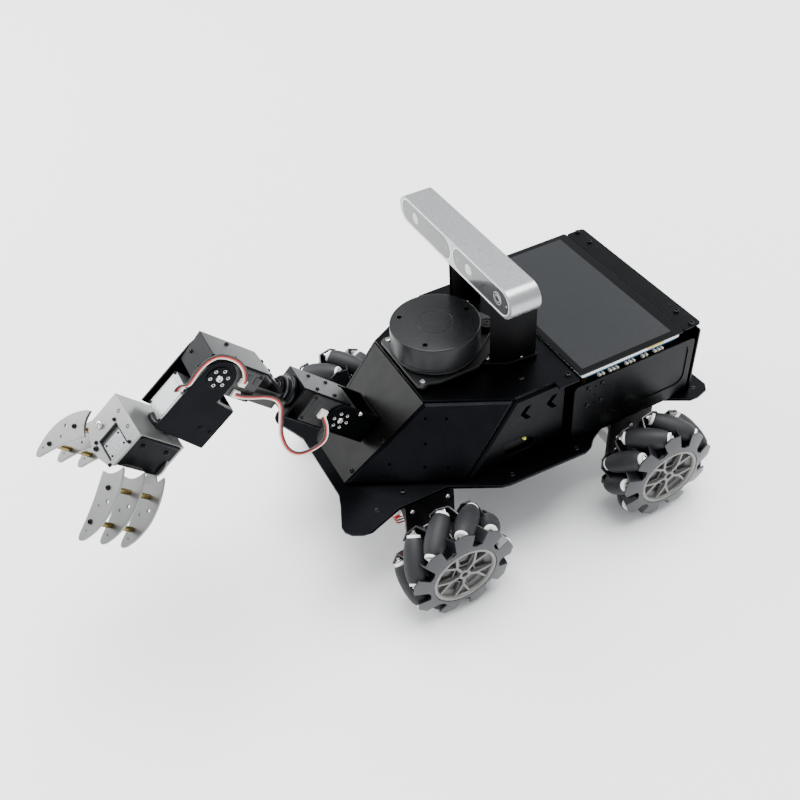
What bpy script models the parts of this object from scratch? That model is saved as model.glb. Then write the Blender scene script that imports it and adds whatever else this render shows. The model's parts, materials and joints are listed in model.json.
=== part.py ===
"""Four-wheel Mecanum robot with a sheet-metal body, a touch display, a scanning rangefinder,
a depth camera on an arch and a gripper arm.

Metres, +Z up, +X forwards, +Y to the robot's left.  The origin is on the ground, in the middle
of the whole robot's length and width.  Every sub-part is its own object; what moves hangs from
an empty that sits on its joint's axis.  Outlines are given in millimetres and scaled by MM.
"""

import bpy
import bmesh
from math import acos, cos, hypot, pi, radians, sin, sqrt
from mathutils import Matrix, Vector

MM = 0.001
GAP = 0.0003                    # clearance between pieces that touch
SHEET = 0.002                   # thickness of the body's folded sheet

# Where the chassis frame, which the body is laid out in, lies in the part's frame
CHASSIS_X = -0.1035
CHASSIS_Z = -0.0174

# Wheels
WHEEL_RADIUS = 0.0472
WHEEL_FRONT = 0.1074
WHEEL_REAR = -0.0909
WHEEL_TRACK_HALF = 0.1087
AXLE_Z = WHEEL_RADIUS - CHASSIS_Z
WHEEL_HALF_WIDTH = 0.0201
ROLLERS = 9
ROLLER_RADIUS = 0.0090
ROLLER_HALF_LENGTH = 0.0175
ROLLER_SIDES = 8
CAP_RADIUS = 0.0280
HUB_RADIUS = 0.0321
LOBE_RADIUS = 0.0433
AXLE_RADIUS = 0.003

# Body
PLATE_TOP = 0.105
PLATE_THICKNESS = 0.003
DECK_TOP = 0.1742
DECK_FRONT = 0.0914
DECK_FRONT_HALF = 0.0422
SIDE_HALF = 0.084
BODY_REAR = -0.139

# Display
GLASS_FRONT = -0.0242
GLASS_LENGTH = 0.100
GLASS_HALF_WIDTH = 0.0825
GLASS_TOP = 0.1766

# Rangefinder
LIDAR_X = 0.057
LIDAR_RADIUS = 0.0358
LIDAR_TOP = 0.208
BELT_RADIUS = 0.0335
BELT_Z = 0.1835
PULLEY_X = 0.0097
PULLEY_RADIUS = 0.0052

# Depth camera
CAMERA_X = 0.0282
CAMERA_Z = 0.2649
CAMERA_HALF_LENGTH = 0.0825
CAMERA_HALF_HEIGHT = 0.0115
CAMERA_HALF_DEPTH = 0.0121
CAMERA_PIVOT_Z = 0.2500

# Arm: the shoulder axis, the link's length and the angles of the links above the horizon
SHOULDER = (0.1519, 0.0, 0.1635)
UPPER_ANGLE = radians(45.6)
UPPER_LENGTH = 0.116
FOREARM_ANGLE = radians(-37.0)
WRIST_ROLL = radians(-9.4)
EAR_OUT = 0.0170                # outer face of a bracket's ear
EAR_IN = 0.0150
SERVO_LENGTH = 0.0452
SERVO_WIDTH = 0.0247
SERVO_END = 0.0112              # from a servo's short end to its output axis
HORN_RADIUS = 0.0095
HORN_STEP = 0.0002
JAW_PIVOT = (0.0800, 0.0124)
JAW_LEVELS = (-0.0098, 0.0091, 0.0280)
JAW_SHEET = 0.0020

# Servo leads: routes in the upper link's frame, in millimetres
LEAD_RADIUS = 0.0013
LEADS = {
    "lead_shoulder": [(17.7, 15.7, -0.3), (17.0, 18.6, -1.8), (10.5, 21.0, -8.0), (6.3, 23.0, -18.0),
                      (13.5, 25.0, -28.5), (23.5, 26.0, -34.0), (34.4, 25.0, -32.4), (44.5, 22.5, -24.5),
                      (51.0, 20.0, -14.2), (56.0, 17.2, -5.5), (62.0, 15.2, -2.2), (71.0, 15.0, -2.8),
                      (82.0, 16.8, -5.5), (90.0, 17.6, -7.4), (95.5, 17.4, -8.0), (97.0, 15.8, -8.1)],
    "lead_elbow": [(96.5, 15.7, 2.0), (96.8, 18.0, 3.2), (99.5, 19.4, 8.0), (104.5, 19.5, 13.5),
                   (112.0, 19.5, 17.3), (121.0, 19.6, 18.0), (128.9, 19.6, 15.4), (133.2, 19.4, 8.5),
                   (134.4, 18.9, 0.0), (134.2, 18.5, -7.0), (133.7, 17.0, -12.5), (133.6, 12.0, -17.0),
                   (133.0, 9.0, -21.5), (131.6, 7.4, -24.8)],
}

BLACK_METAL = (0.018, 0.019, 0.022)


# ---------------------------------------------------------------- scene helpers

def clear_scene():
    for old in list(bpy.data.objects):
        bpy.data.objects.remove(old)


def material(name, colour, roughness, metallic=0.0):
    made = bpy.data.materials.new(name)
    made.use_nodes = True
    shader = made.node_tree.nodes["Principled BSDF"]
    shader.inputs["Base Color"].default_value = (*colour, 1.0)
    shader.inputs["Roughness"].default_value = roughness
    shader.inputs["Metallic"].default_value = metallic
    return made


def pivot(name, parent=None, at=(0, 0, 0), turn=(0, 0, 0)):
    """An empty that carries pieces; at and turn are in its parent's frame."""
    empty = bpy.data.objects.new(name, None)
    bpy.context.collection.objects.link(empty)
    empty.parent = parent
    empty.location = at
    empty.rotation_euler = turn
    return empty


def part(name, mesh_source, look, parent, at=(0, 0, 0), turn=(0, 0, 0), guide=False):
    """Link a bmesh (freed here) or a finished mesh as an object."""
    if isinstance(mesh_source, bmesh.types.BMesh):
        mesh = bpy.data.meshes.new(name)
        mesh_source.to_mesh(mesh)
        mesh_source.free()
        mesh.shade_smooth()
        mesh.set_sharp_from_angle(angle=radians(32))
    else:
        mesh = mesh_source
    made = bpy.data.objects.new(name, mesh)
    bpy.context.collection.objects.link(made)
    made.parent = parent
    made.location = at
    made.rotation_euler = turn
    if guide:
        made.hide_render = True
        made.display_type = "WIRE"
    elif not mesh.materials:
        mesh.materials.append(material(name, *look))
    return made


def boolean(target, other, operation):
    step = target.modifiers.new(operation.lower(), "BOOLEAN")
    step.operation = operation
    step.solver = "EXACT"
    step.object = other


# ---------------------------------------------------------------- outlines and solids

def scaled(points):
    return [(x * MM, y * MM) for x, y in points]


def mirrored(half):
    """Close an outline from its +Y half, given from front to back."""
    return list(half) + [(x, -y) for x, y in reversed(half) if y > 0]


def circle(radius, centre=(0, 0), count=16, start=0.0):
    return [(centre[0] + radius * cos(start + 2 * pi * k / count),
             centre[1] + radius * sin(start + 2 * pi * k / count)) for k in range(count)]


def rectangle(x0, x1, y0, y1, corner=0.0, steps=3):
    if corner <= 0:
        return [(x0, y0), (x1, y0), (x1, y1), (x0, y1)]
    centres = [(x1 - corner, y1 - corner, 0), (x0 + corner, y1 - corner, 1),
               (x0 + corner, y0 + corner, 2), (x1 - corner, y0 + corner, 3)]
    points = []
    for cx, cy, quarter in centres:
        for k in range(steps + 1):
            angle = (quarter + k / steps) * pi / 2
            points.append((cx + corner * cos(angle), cy + corner * sin(angle)))
    return points


def arc(centre, radius, first, last, steps):
    """Points on an arc; angles in degrees."""
    return [(centre[0] + radius * cos(radians(first + (last - first) * k / steps)),
             centre[1] + radius * sin(radians(first + (last - first) * k / steps)))
            for k in range(steps + 1)]


def add_prism(bm, outline, low, high, holes=(), frame=Matrix()):
    """Extrude a flat outline with holes from low to high along its own Z."""
    edges = []
    for loop in [outline, *holes]:
        verts = [bm.verts.new((x, y, low)) for x, y in loop]
        edges += [bm.edges.new((verts[k - 1], verts[k])) for k in range(len(verts))]
    filled = bmesh.ops.triangle_fill(bm, use_beauty=True, use_dissolve=False, edges=edges)
    faces = [item for item in filled["geom"] if isinstance(item, bmesh.types.BMFace)]
    grown = bmesh.ops.extrude_face_region(bm, geom=faces, use_keep_orig=True)
    top = [item for item in grown["geom"] if isinstance(item, bmesh.types.BMVert)]
    bmesh.ops.translate(bm, verts=top, vec=(0, 0, high - low))
    verts = list({vert for edge in edges for vert in edge.verts} | set(top))
    bmesh.ops.transform(bm, matrix=frame, verts=verts)
    bmesh.ops.recalc_face_normals(bm, faces=bm.faces)
    return bm


def prism(outline, low, high, holes=(), frame=Matrix()):
    return add_prism(bmesh.new(), outline, low, high, holes, frame)


def add_turned(bm, profile, sides, frame=Matrix(), start=0.0):
    """Turn a closed (radius, height) profile about Z; a point at radius 0 becomes a pole."""
    rings = []
    for radius, height in profile:
        if radius == 0:
            rings.append([bm.verts.new(frame @ Vector((0, 0, height)))])
            continue
        rings.append([bm.verts.new(frame @ Vector((x, y, height)))
                      for x, y in circle(radius, count=sides, start=start)])
    closed = profile[0][0] > 0
    for index in range(len(rings) if closed else len(rings) - 1):
        low, high = rings[index], rings[(index + 1) % len(rings)]
        for k in range(sides):
            n = (k + 1) % sides
            corners = [low[k % len(low)], low[n % len(low)], high[n % len(high)], high[k % len(high)]]
            bm.faces.new(list(dict.fromkeys(corners)))
    bmesh.ops.recalc_face_normals(bm, faces=bm.faces)
    return bm


def turned(profile, sides=24, frame=Matrix(), start=0.0):
    return add_turned(bmesh.new(), profile, sides, frame, start)


def sheet_panel(corners, thickness, mitre, holes=()):
    """A flat panel from its outer corners, with its edges leaning in towards the inner face."""
    outer = [Vector(corner) for corner in corners]
    normal = (outer[1] - outer[0]).cross(outer[2] - outer[0]).normalized()
    centre = sum(outer, Vector()) / len(outer)
    across = (outer[1] - outer[0]).normalized()
    up = normal.cross(across)
    flat = [((p - centre).dot(across), (p - centre).dot(up)) for p in outer]
    frame = Matrix.Translation(centre) @ Matrix((across, up, normal)).transposed().to_4x4()
    bm = prism(inset(flat, GAP), -thickness, 0.0, holes, frame)
    inward = [vert for vert in bm.verts if (vert.co - centre).dot(normal) < -thickness / 2]
    count = len(flat)
    shrunk = inset(flat, GAP + mitre)
    for vert in inward:
        spot = ((vert.co - centre).dot(across), (vert.co - centre).dot(up))
        for k, edge_point in enumerate(inset(flat, GAP)):
            if hypot(spot[0] - edge_point[0], spot[1] - edge_point[1]) < MM / 10:
                vert.co = frame @ Vector((shrunk[k % count][0], shrunk[k % count][1], -thickness))
    return bm, frame


def inset(flat, distance):
    """Move every edge of an anticlockwise outline inwards by a distance."""
    moved = []
    count = len(flat)
    for k in range(count):
        before, here, after = Vector(flat[k - 1]), Vector(flat[k]), Vector(flat[(k + 1) % count])
        first = (here - before).normalized()
        second = (after - here).normalized()
        bisector = Vector((-first.y - second.y, first.x + second.x))
        scale = 2 * distance / max(bisector.length_squared, 1e-9)
        moved.append(tuple(here + bisector * scale))
    return moved


def smooth_route(points, spacing):
    """Points at an even spacing on a Catmull-Rom curve through hand-chosen points."""
    knots = [Vector(p) for p in points]
    knots = [2 * knots[0] - knots[1]] + knots + [2 * knots[-1] - knots[-2]]
    fine = []
    for k in range(1, len(knots) - 2):
        a, b, c, d = knots[k - 1:k + 3]
        for step in range(20):
            t = step / 20
            fine.append(0.5 * (2 * b + (c - a) * t + (2 * a - 5 * b + 4 * c - d) * t * t
                               + (3 * b - a - 3 * c + d) * t ** 3))
    fine.append(knots[-2])
    route, travelled = [fine[0]], 0.0
    for k in range(1, len(fine)):
        travelled += (fine[k] - fine[k - 1]).length
        if travelled >= spacing:
            route.append(fine[k])
            travelled = 0.0
    if (route[-1] - fine[-1]).length < spacing / 2:
        route.pop()
    return route + [fine[-1]]


def lead(name, points, radius, colour, parent):
    curve = bpy.data.curves.new(name, "CURVE")
    curve.dimensions = "3D"
    route = smooth_route(points, radius * 5)
    spline = curve.splines.new("POLY")
    spline.points.add(len(route) - 1)
    for spot, place in zip(spline.points, route):
        spot.co = (*place, 1.0)
    curve.bevel_depth = radius
    curve.bevel_resolution = 2
    curve.use_fill_caps = True
    curve.materials.append(material(name, colour, 0.5))
    made = bpy.data.objects.new(name, curve)
    bpy.context.collection.objects.link(made)
    made.parent = parent
    return made


# Frames for flat outlines that stand up: local X, Y, Z become the world axes named
UPRIGHT_XZ = Matrix(((1, 0, 0, 0), (0, 0, -1, 0), (0, 1, 0, 0), (0, 0, 0, 1)))
UPRIGHT_YZ = Matrix(((0, 0, 1, 0), (1, 0, 0, 0), (0, 1, 0, 0), (0, 0, 0, 1)))


def block(x, y, z, corner=0.0, frame=Matrix()):
    """A box between pairs of limits, with rounded vertical corners."""
    return prism(rectangle(*x, *y, corner), z[0], z[1], frame=frame)


# ---------------------------------------------------------------- body

BASE_HALF = scaled([(169, 0), (169, 36), (173, 48), (181, 67), (180.5, 72), (177, 77), (169, 81.5),
                    (162, 82.5), (134, 73), (91, 73), (83, 77.5), (54, 94), (47, 96), (-24, 98),
                    (-32, 95), (-38, 89), (-58, 78), (-108, 77), (-118, 83), (-135, 93.5),
                    (-143, 94), (-154, 91), (-158, 85), (-157, 64), (-157, 0)])
FRONT_LOW = (0.1605, 0.0284)    # where the sloped front panel's lower corner meets the plate
SIDE_BACK = (0.0312, 0.0755)    # where the tapered deck edge ends
DECK_NOTCH = -0.0040
FLANK_BACK = -0.0160


def tapered_side_y(x):
    """Lower edge of the tapered side panel, parallel to the deck's edge."""
    slope = (SIDE_BACK[1] - DECK_FRONT_HALF) / (SIDE_BACK[0] - DECK_FRONT)
    return FRONT_LOW[1] + (x - FRONT_LOW[0]) * slope


def build_body(frame):
    black = (BLACK_METAL, 0.32, 0.6)
    floor = PLATE_TOP + GAP
    under_deck = DECK_TOP - SHEET - GAP
    part("base_plate", prism(mirrored(BASE_HALF), PLATE_TOP - PLATE_THICKNESS, PLATE_TOP),
         black, frame)

    deck_half = [(DECK_FRONT, 0), (DECK_FRONT, DECK_FRONT_HALF), SIDE_BACK,
                 (DECK_NOTCH, SIDE_BACK[1]), (DECK_NOTCH, SIDE_HALF), (-0.0225, SIDE_HALF),
                 (-0.0225, 0)]
    motor_hole = circle(0.0104, (PULLEY_X, 0), 16)
    part("deck", prism(mirrored(deck_half), DECK_TOP - SHEET, DECK_TOP, [motor_hole]),
         (BLACK_METAL, 0.28, 0.6), frame)

    front = [(FRONT_LOW[0], -FRONT_LOW[1], floor), (FRONT_LOW[0], FRONT_LOW[1], floor),
             (DECK_FRONT, DECK_FRONT_HALF, under_deck), (DECK_FRONT, -DECK_FRONT_HALF, under_deck)]
    part("front_panel", sheet_panel(front, SHEET, SHEET)[0], ((0.022, 0.023, 0.026), 0.3, 0.6), frame)

    low_back = 0.0753
    for side, label in ((1, "left"), (-1, "right")):
        cheek = [(FRONT_LOW[0], side * FRONT_LOW[1], floor),
                 (low_back, side * tapered_side_y(low_back), floor),
                 (SIDE_BACK[0], side * SIDE_BACK[1], under_deck),
                 (DECK_FRONT, side * DECK_FRONT_HALF, under_deck)]
        flank = [(low_back, side * tapered_side_y(low_back), floor),
                 (FLANK_BACK, side * tapered_side_y(low_back), floor),
                 (FLANK_BACK, side * SIDE_BACK[1], under_deck),
                 (SIDE_BACK[0], side * SIDE_BACK[1], under_deck)]
        if side < 0:
            cheek.reverse()
            flank.reverse()
        cheek_panel, _ = sheet_panel(cheek[::-1], SHEET, SHEET)
        part("cheek_" + label, cheek_panel, black, frame)
        flank_panel, _ = sheet_panel(flank[::-1], SHEET, SHEET)
        part("flank_" + label, flank_panel, black, frame)
        wall = rectangle(BODY_REAR + 0.0025, FLANK_BACK - 0.0025, floor, under_deck - 0.006, 0.004)
        part("side_wall_" + label,
             prism(wall, -side * SIDE_HALF, -side * (SIDE_HALF - SHEET), frame=UPRIGHT_XZ),
             black, frame)

    part("rear_panel", block((BODY_REAR - SHEET, BODY_REAR), (-SIDE_HALF, SIDE_HALF),
                             (floor, DECK_TOP - SHEET)), black, frame)


def build_display(frame):
    back = GLASS_FRONT - GLASS_LENGTH
    part("display_glass",
         block((back, GLASS_FRONT), (-GLASS_HALF_WIDTH, GLASS_HALF_WIDTH),
               (GLASS_TOP - 0.0015, GLASS_TOP), 0.002), ((0.02, 0.025, 0.03), 0.05), frame)
    module_top = GLASS_TOP - 0.0015 - GAP
    part("display_module",
         block((back + 0.003, GLASS_FRONT - 0.003), (-0.0805, 0.0805), (module_top - 0.0045, module_top)),
         ((0.8, 0.82, 0.84), 0.4), frame)
    board_top = module_top - 0.0045 - GAP
    part("display_board",
         block((back + 0.006, GLASS_FRONT - 0.006), (-0.0800, 0.0800), (board_top - 0.0016, board_top)),
         ((0.02, 0.09, 0.28), 0.4), frame)
    part("rear_strip",
         block((-0.1431, back - GAP), (-0.081, 0.081), (GLASS_TOP - 0.0022, GLASS_TOP - 0.0002), 0.003),
         (BLACK_METAL, 0.35, 0.5), frame)


def build_inside(frame):
    """Battery, computer and drive board on the base plate, under the deck and the display."""
    floor = PLATE_TOP + GAP
    part("battery", block((-0.012, 0.058), (-0.038, 0.038), (floor, 0.130), 0.004),
         ((0.02, 0.05, 0.16), 0.5), frame)
    drive = block((-0.132, -0.066), (-0.050, 0.050), (floor + 0.006, floor + 0.0076), 0.003)
    part("drive_board", drive, ((0.01, 0.12, 0.05), 0.45), frame)
    computer = block((-0.128, -0.040), (-0.030, 0.030), (0.128, 0.1296), 0.003)
    part("computer_board", computer, ((0.01, 0.12, 0.05), 0.45), frame)


# ---------------------------------------------------------------- drive

def roller_shape(sides):
    """Half-lengths and radii of a barrel roller whose outside stays on the wheel's circle."""
    axis = WHEEL_RADIUS - ROLLER_RADIUS
    stations = [-ROLLER_HALF_LENGTH * (1 - k / 2) for k in range(5)]
    profile = [(WHEEL_RADIUS - sqrt(axis * axis + s * s / 2), s) for s in stations]
    return [(0, stations[0]), *profile, (0, stations[-1])], sides


def build_wheel(label, front, side, frame):
    """Wheel frame: Z points outwards along the axle."""
    slant = front * side
    lowest = side * pi / 2
    axle = pivot("axle_" + label, frame,
                 (WHEEL_FRONT if front > 0 else WHEEL_REAR, side * WHEEL_TRACK_HALF, AXLE_Z),
                 (-side * pi / 2, 0, 0))
    spool = [(0.0055, -0.0190), (HUB_RADIUS, -0.0190), (HUB_RADIUS, -0.0165), (0.014, -0.0165),
             (0.014, -0.0080), (HUB_RADIUS, -0.0080), (HUB_RADIUS, 0.0080), (0.014, 0.0080),
             (0.014, 0.0137), (0.0055, 0.0137)]
    core = part("rollers_" + label, turned(spool, 24), ((0.035, 0.036, 0.04), 0.6), axle)
    rollers = bmesh.new()
    profile, sides = roller_shape(ROLLER_SIDES)
    for k in range(ROLLERS):
        angle = lowest + k * 2 * pi / ROLLERS
        outwards = Vector((cos(angle), sin(angle), 0))
        along = Vector((-sin(angle) * slant, cos(angle) * slant, 1)).normalized()
        across = along.cross(outwards)
        place = outwards * (WHEEL_RADIUS - ROLLER_RADIUS)
        turn = Matrix((outwards, across, along)).transposed().to_4x4()
        add_turned(rollers, profile, sides, Matrix.Translation(place) @ turn)
    boolean(core, part("rollers_guide_" + label, rollers, None, axle, guide=True), "UNION")

    pitch = 2 * pi / ROLLERS
    lobes = []
    for k in range(ROLLERS):
        middle = lowest + (k + 0.5) * pitch
        lobes += [(0.0336 * cos(middle - 0.42 * pitch), 0.0336 * sin(middle - 0.42 * pitch)),
                  (LOBE_RADIUS * cos(middle - 0.20 * pitch), LOBE_RADIUS * sin(middle - 0.20 * pitch)),
                  (LOBE_RADIUS * cos(middle + 0.20 * pitch), LOBE_RADIUS * sin(middle + 0.20 * pitch)),
                  (0.0336 * cos(middle + 0.42 * pitch), 0.0336 * sin(middle + 0.42 * pitch))]
    part("hub_plate_" + label,
         prism(lobes, 0.0178, 0.0194, [circle(CAP_RADIUS + GAP, count=24)]),
         ((0.03, 0.03, 0.033), 0.15), axle)

    windows = []
    for k in range(5):
        start = k * 72 + 8
        windows.append(scaled(arc((0, 0), 21.9, start, start + 56, 4)
                              + arc((0, 0), 9.5, start + 46, start + 10, 2)))
    part("centre_cap_" + label,
         prism(circle(CAP_RADIUS, count=24), 0.0158, WHEEL_HALF_WIDTH, windows),
         ((0.33, 0.33, 0.33), 0.45), axle)


def build_motor(label, front, side, frame):
    """Gear motor along Y behind an angle bracket that hangs from the base plate."""
    x = WHEEL_FRONT if front > 0 else WHEEL_REAR
    place = (x, 0, AXLE_Z)
    outwards = (-side * pi / 2, 0, 0)
    bracket_face = 0.0735
    body_end = bracket_face - 0.0030 - GAP
    shaft_end = WHEEL_TRACK_HALF + 0.0127
    profile = [(0, 0.008), (0.0165, 0.008), (0.0165, 0.044), (0.0185, 0.0445),
               (0.0185, body_end), (AXLE_RADIUS * 2, body_end), (AXLE_RADIUS * 2, body_end + 0.005),
               (AXLE_RADIUS, body_end + 0.005), (AXLE_RADIUS, shaft_end), (0, shaft_end)]
    holder = pivot("motor_place_" + label, frame, place, outwards)
    part("motor_" + label, turned(profile, 16), ((0.55, 0.55, 0.53), 0.35, 0.9), holder)

    flange_top = PLATE_TOP - PLATE_THICKNESS - GAP
    face = prism(rectangle(x - 0.022, x + 0.022, AXLE_Z - 0.0215, flange_top, 0.004),
                 -side * bracket_face, -side * (bracket_face - 0.0030),
                 [circle(AXLE_RADIUS * 2 + GAP, (x, AXLE_Z), 12)], UPRIGHT_XZ)
    bracket = part("motor_bracket_" + label, face, (BLACK_METAL, 0.4, 0.5), frame)
    flange = part("motor_flange_guide_" + label,
                  block((x - 0.022, x + 0.022), sorted((side * 0.050, side * (bracket_face - 0.0005))),
                        (flange_top - 0.0030, flange_top)), None, frame, guide=True)
    boolean(bracket, flange, "UNION")


# ---------------------------------------------------------------- sensors

def build_rangefinder(frame):
    base_half = scaled([(91, 0), (91, 31), (87, 34), (81, 33), (73, 36), (40, 36), (16, 24), (7, 24),
                        (3, 20), (-1, 9), (-1, 0)])
    low = DECK_TOP + 0.0040
    base = part("rangefinder_base", prism(mirrored(base_half), low, low + 0.0025),
                ((0.05, 0.052, 0.056), 0.45), frame)
    posts = bmesh.new()
    for x, y in ((0.085, 0.029), (0.085, -0.029), (0.012, 0.0195), (0.012, -0.0195)):
        add_turned(posts, [(0, DECK_TOP + GAP), (0.0030, DECK_TOP + GAP), (0.0030, low + 0.001),
                           (0, low + 0.001)], 8, Matrix.Translation((x, y, 0)))
    boolean(base, part("rangefinder_posts_guide", posts, None, frame, guide=True), "UNION")
    part("rangefinder_motor",
         turned([(0, low - 0.0180), (0.0095, low - 0.0180), (0.0095, low - GAP), (0, low - GAP)], 16),
         ((0.3, 0.3, 0.3), 0.4, 0.8), frame, (PULLEY_X, 0, 0))

    turret = pivot("turret_axis", frame, (LIDAR_X, 0, 0))
    top = LIDAR_TOP
    part("turret",
         turned([(0, 0.1811), (0.0325, 0.1811), (0.0325, 0.1855), (LIDAR_RADIUS - 0.0008, 0.1862),
                 (LIDAR_RADIUS, 0.1870), (LIDAR_RADIUS, top - 0.0010), (LIDAR_RADIUS - 0.0010, top),
                 (0, top)], 32), ((0.05, 0.052, 0.058), 0.35), turret)
    spindle = pivot("pulley_axis", frame, (PULLEY_X, 0, 0))
    part("drive_pulley",
         turned([(0, 0.1816), (PULLEY_RADIUS, 0.1816), (PULLEY_RADIUS, 0.1852),
                 (PULLEY_RADIUS + 0.0014, 0.1853), (PULLEY_RADIUS + 0.0014, 0.1868), (0, 0.1868)], 16),
         ((0.25, 0.25, 0.25), 0.4), spindle)

    lean = acos((BELT_RADIUS - PULLEY_RADIUS) / (LIDAR_X - PULLEY_X)) * 180 / pi
    belt = []
    for swell in (0.0014, 0.0003):
        wide, narrow = BELT_RADIUS / MM + swell / MM - 0.6, PULLEY_RADIUS / MM + swell / MM
        belt.append(scaled(arc((LIDAR_X / MM, 0), wide, lean - 180, 180 - lean, 20)
                           + arc((PULLEY_X / MM, 0), narrow, 180 - lean, 180 + lean, 6)))
    part("drive_belt", prism(belt[0], BELT_Z - 0.0008, BELT_Z + 0.0008, [belt[1]]),
         ((0.02, 0.02, 0.02), 0.6), frame)


def build_depth_camera(frame):
    foot = DECK_TOP + GAP
    top = 0.2400
    leg_outer = scaled([(26, 31), (9, 42.5), (-8, 44)])
    leg_inner = scaled([(-8, 41.8), (8.2, 40.4), (24.5, 29.2)])
    arch = part("camera_arch", prism(leg_outer + leg_inner, foot, top), ((0.02, 0.02, 0.022), 0.45), frame)
    other = [(x, -y) for x, y in leg_outer + leg_inner]
    guides = bmesh.new()
    add_prism(guides, other, foot, top)
    boolean(arch, part("camera_arch_guide", guides, None, frame, guide=True), "UNION")
    cover_half = scaled([(27, 0), (27, 31), (9.5, 43), (-8.5, 44.5), (-8.5, 0)])
    cover = prism(mirrored(cover_half), top - 0.0010, top + 0.0020)
    boolean(arch, part("camera_cover_guide", cover, None, frame, guide=True), "UNION")
    cheeks = bmesh.new()
    for y in (-0.010, 0.0075):
        outline = rectangle(CAMERA_X - 0.018, CAMERA_X - 0.002, top, CAMERA_PIVOT_Z + 0.0008, 0.002)
        add_prism(cheeks, outline, y, y + 0.0025, frame=UPRIGHT_XZ)
    boolean(arch, part("camera_cheeks_guide", cheeks, None, frame, guide=True), "UNION")

    tilt = pivot("camera_tilt_axis", frame, (CAMERA_X - 0.010, 0, CAMERA_PIVOT_Z))
    ahead, up = 0.010, CAMERA_Z - CAMERA_PIVOT_Z
    end = CAMERA_HALF_LENGTH - CAMERA_HALF_HEIGHT
    pill = scaled(arc((end / MM, up / MM), CAMERA_HALF_HEIGHT / MM, -90, 90, 10)
                  + arc((-end / MM, up / MM), CAMERA_HALF_HEIGHT / MM, 90, 270, 10))
    front = ahead + CAMERA_HALF_DEPTH
    bar = part("camera_body", prism(pill, ahead - CAMERA_HALF_DEPTH, front, frame=UPRIGHT_YZ),
               ((0.72, 0.73, 0.74), 0.35, 0.85), tilt)
    recess = bmesh.new()
    for middle, half, label in ((-0.0400, 0.0385, "right"), (0.0400, 0.0385, "left")):
        rim = 0.0100
        ends = [((middle + half - rim) / MM, -90, 90), ((middle - half + rim) / MM, 90, 270)]
        window = [arc((c, up / MM), (rim / MM), a, b, 8) for c, a, b in ends]
        add_prism(recess, scaled(window[0] + window[1]), front - 0.0012, front + 0.001, frame=UPRIGHT_YZ)
        pane = [arc((c, up / MM), (rim - GAP) / MM, a, b, 8) for c, a, b in ends]
        part("camera_window_" + label,
             prism(scaled(pane[0] + pane[1]), front - 0.0012 + GAP, front - GAP, frame=UPRIGHT_YZ),
             ((0.05, 0.055, 0.06), 0.08), tilt)
    boolean(bar, part("camera_recess_guide", recess, None, tilt, guide=True), "DIFFERENCE")
    neck = prism(rectangle(-0.006, 0.006, -0.004, up - CAMERA_HALF_HEIGHT + 0.001, 0.002),
                 -0.0070, 0.0070, frame=UPRIGHT_XZ)
    boolean(bar, part("camera_neck_guide", neck, None, tilt, guide=True), "UNION")


# ---------------------------------------------------------------- arm

def ear_outline(back, half=13.0, steps=8):
    """A strip with a round end about the origin, reaching back along X."""
    return scaled(arc((0, 0), half, -90, 90, steps) + [(back, half), (back, -half)])


def servo(name, look, parent, at, turn=(0, 0, 0), height=0.0290):
    """Servo body along X with its output axis on Z at the origin of at."""
    body = block((-SERVO_END, SERVO_LENGTH - SERVO_END), (-SERVO_WIDTH / 2, SERVO_WIDTH / 2),
                 (-height / 2, height / 2), 0.0015)
    made = part(name, body, look, parent, at, turn)
    reach = height / 2 + HORN_STEP
    horn = turned([(0, -reach), (HORN_RADIUS, -reach), (HORN_RADIUS, reach), (0, reach)], 16)
    boolean(made, part(name + "_boss_guide", horn, None, parent, at, turn, guide=True), "UNION")
    return made


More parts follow.
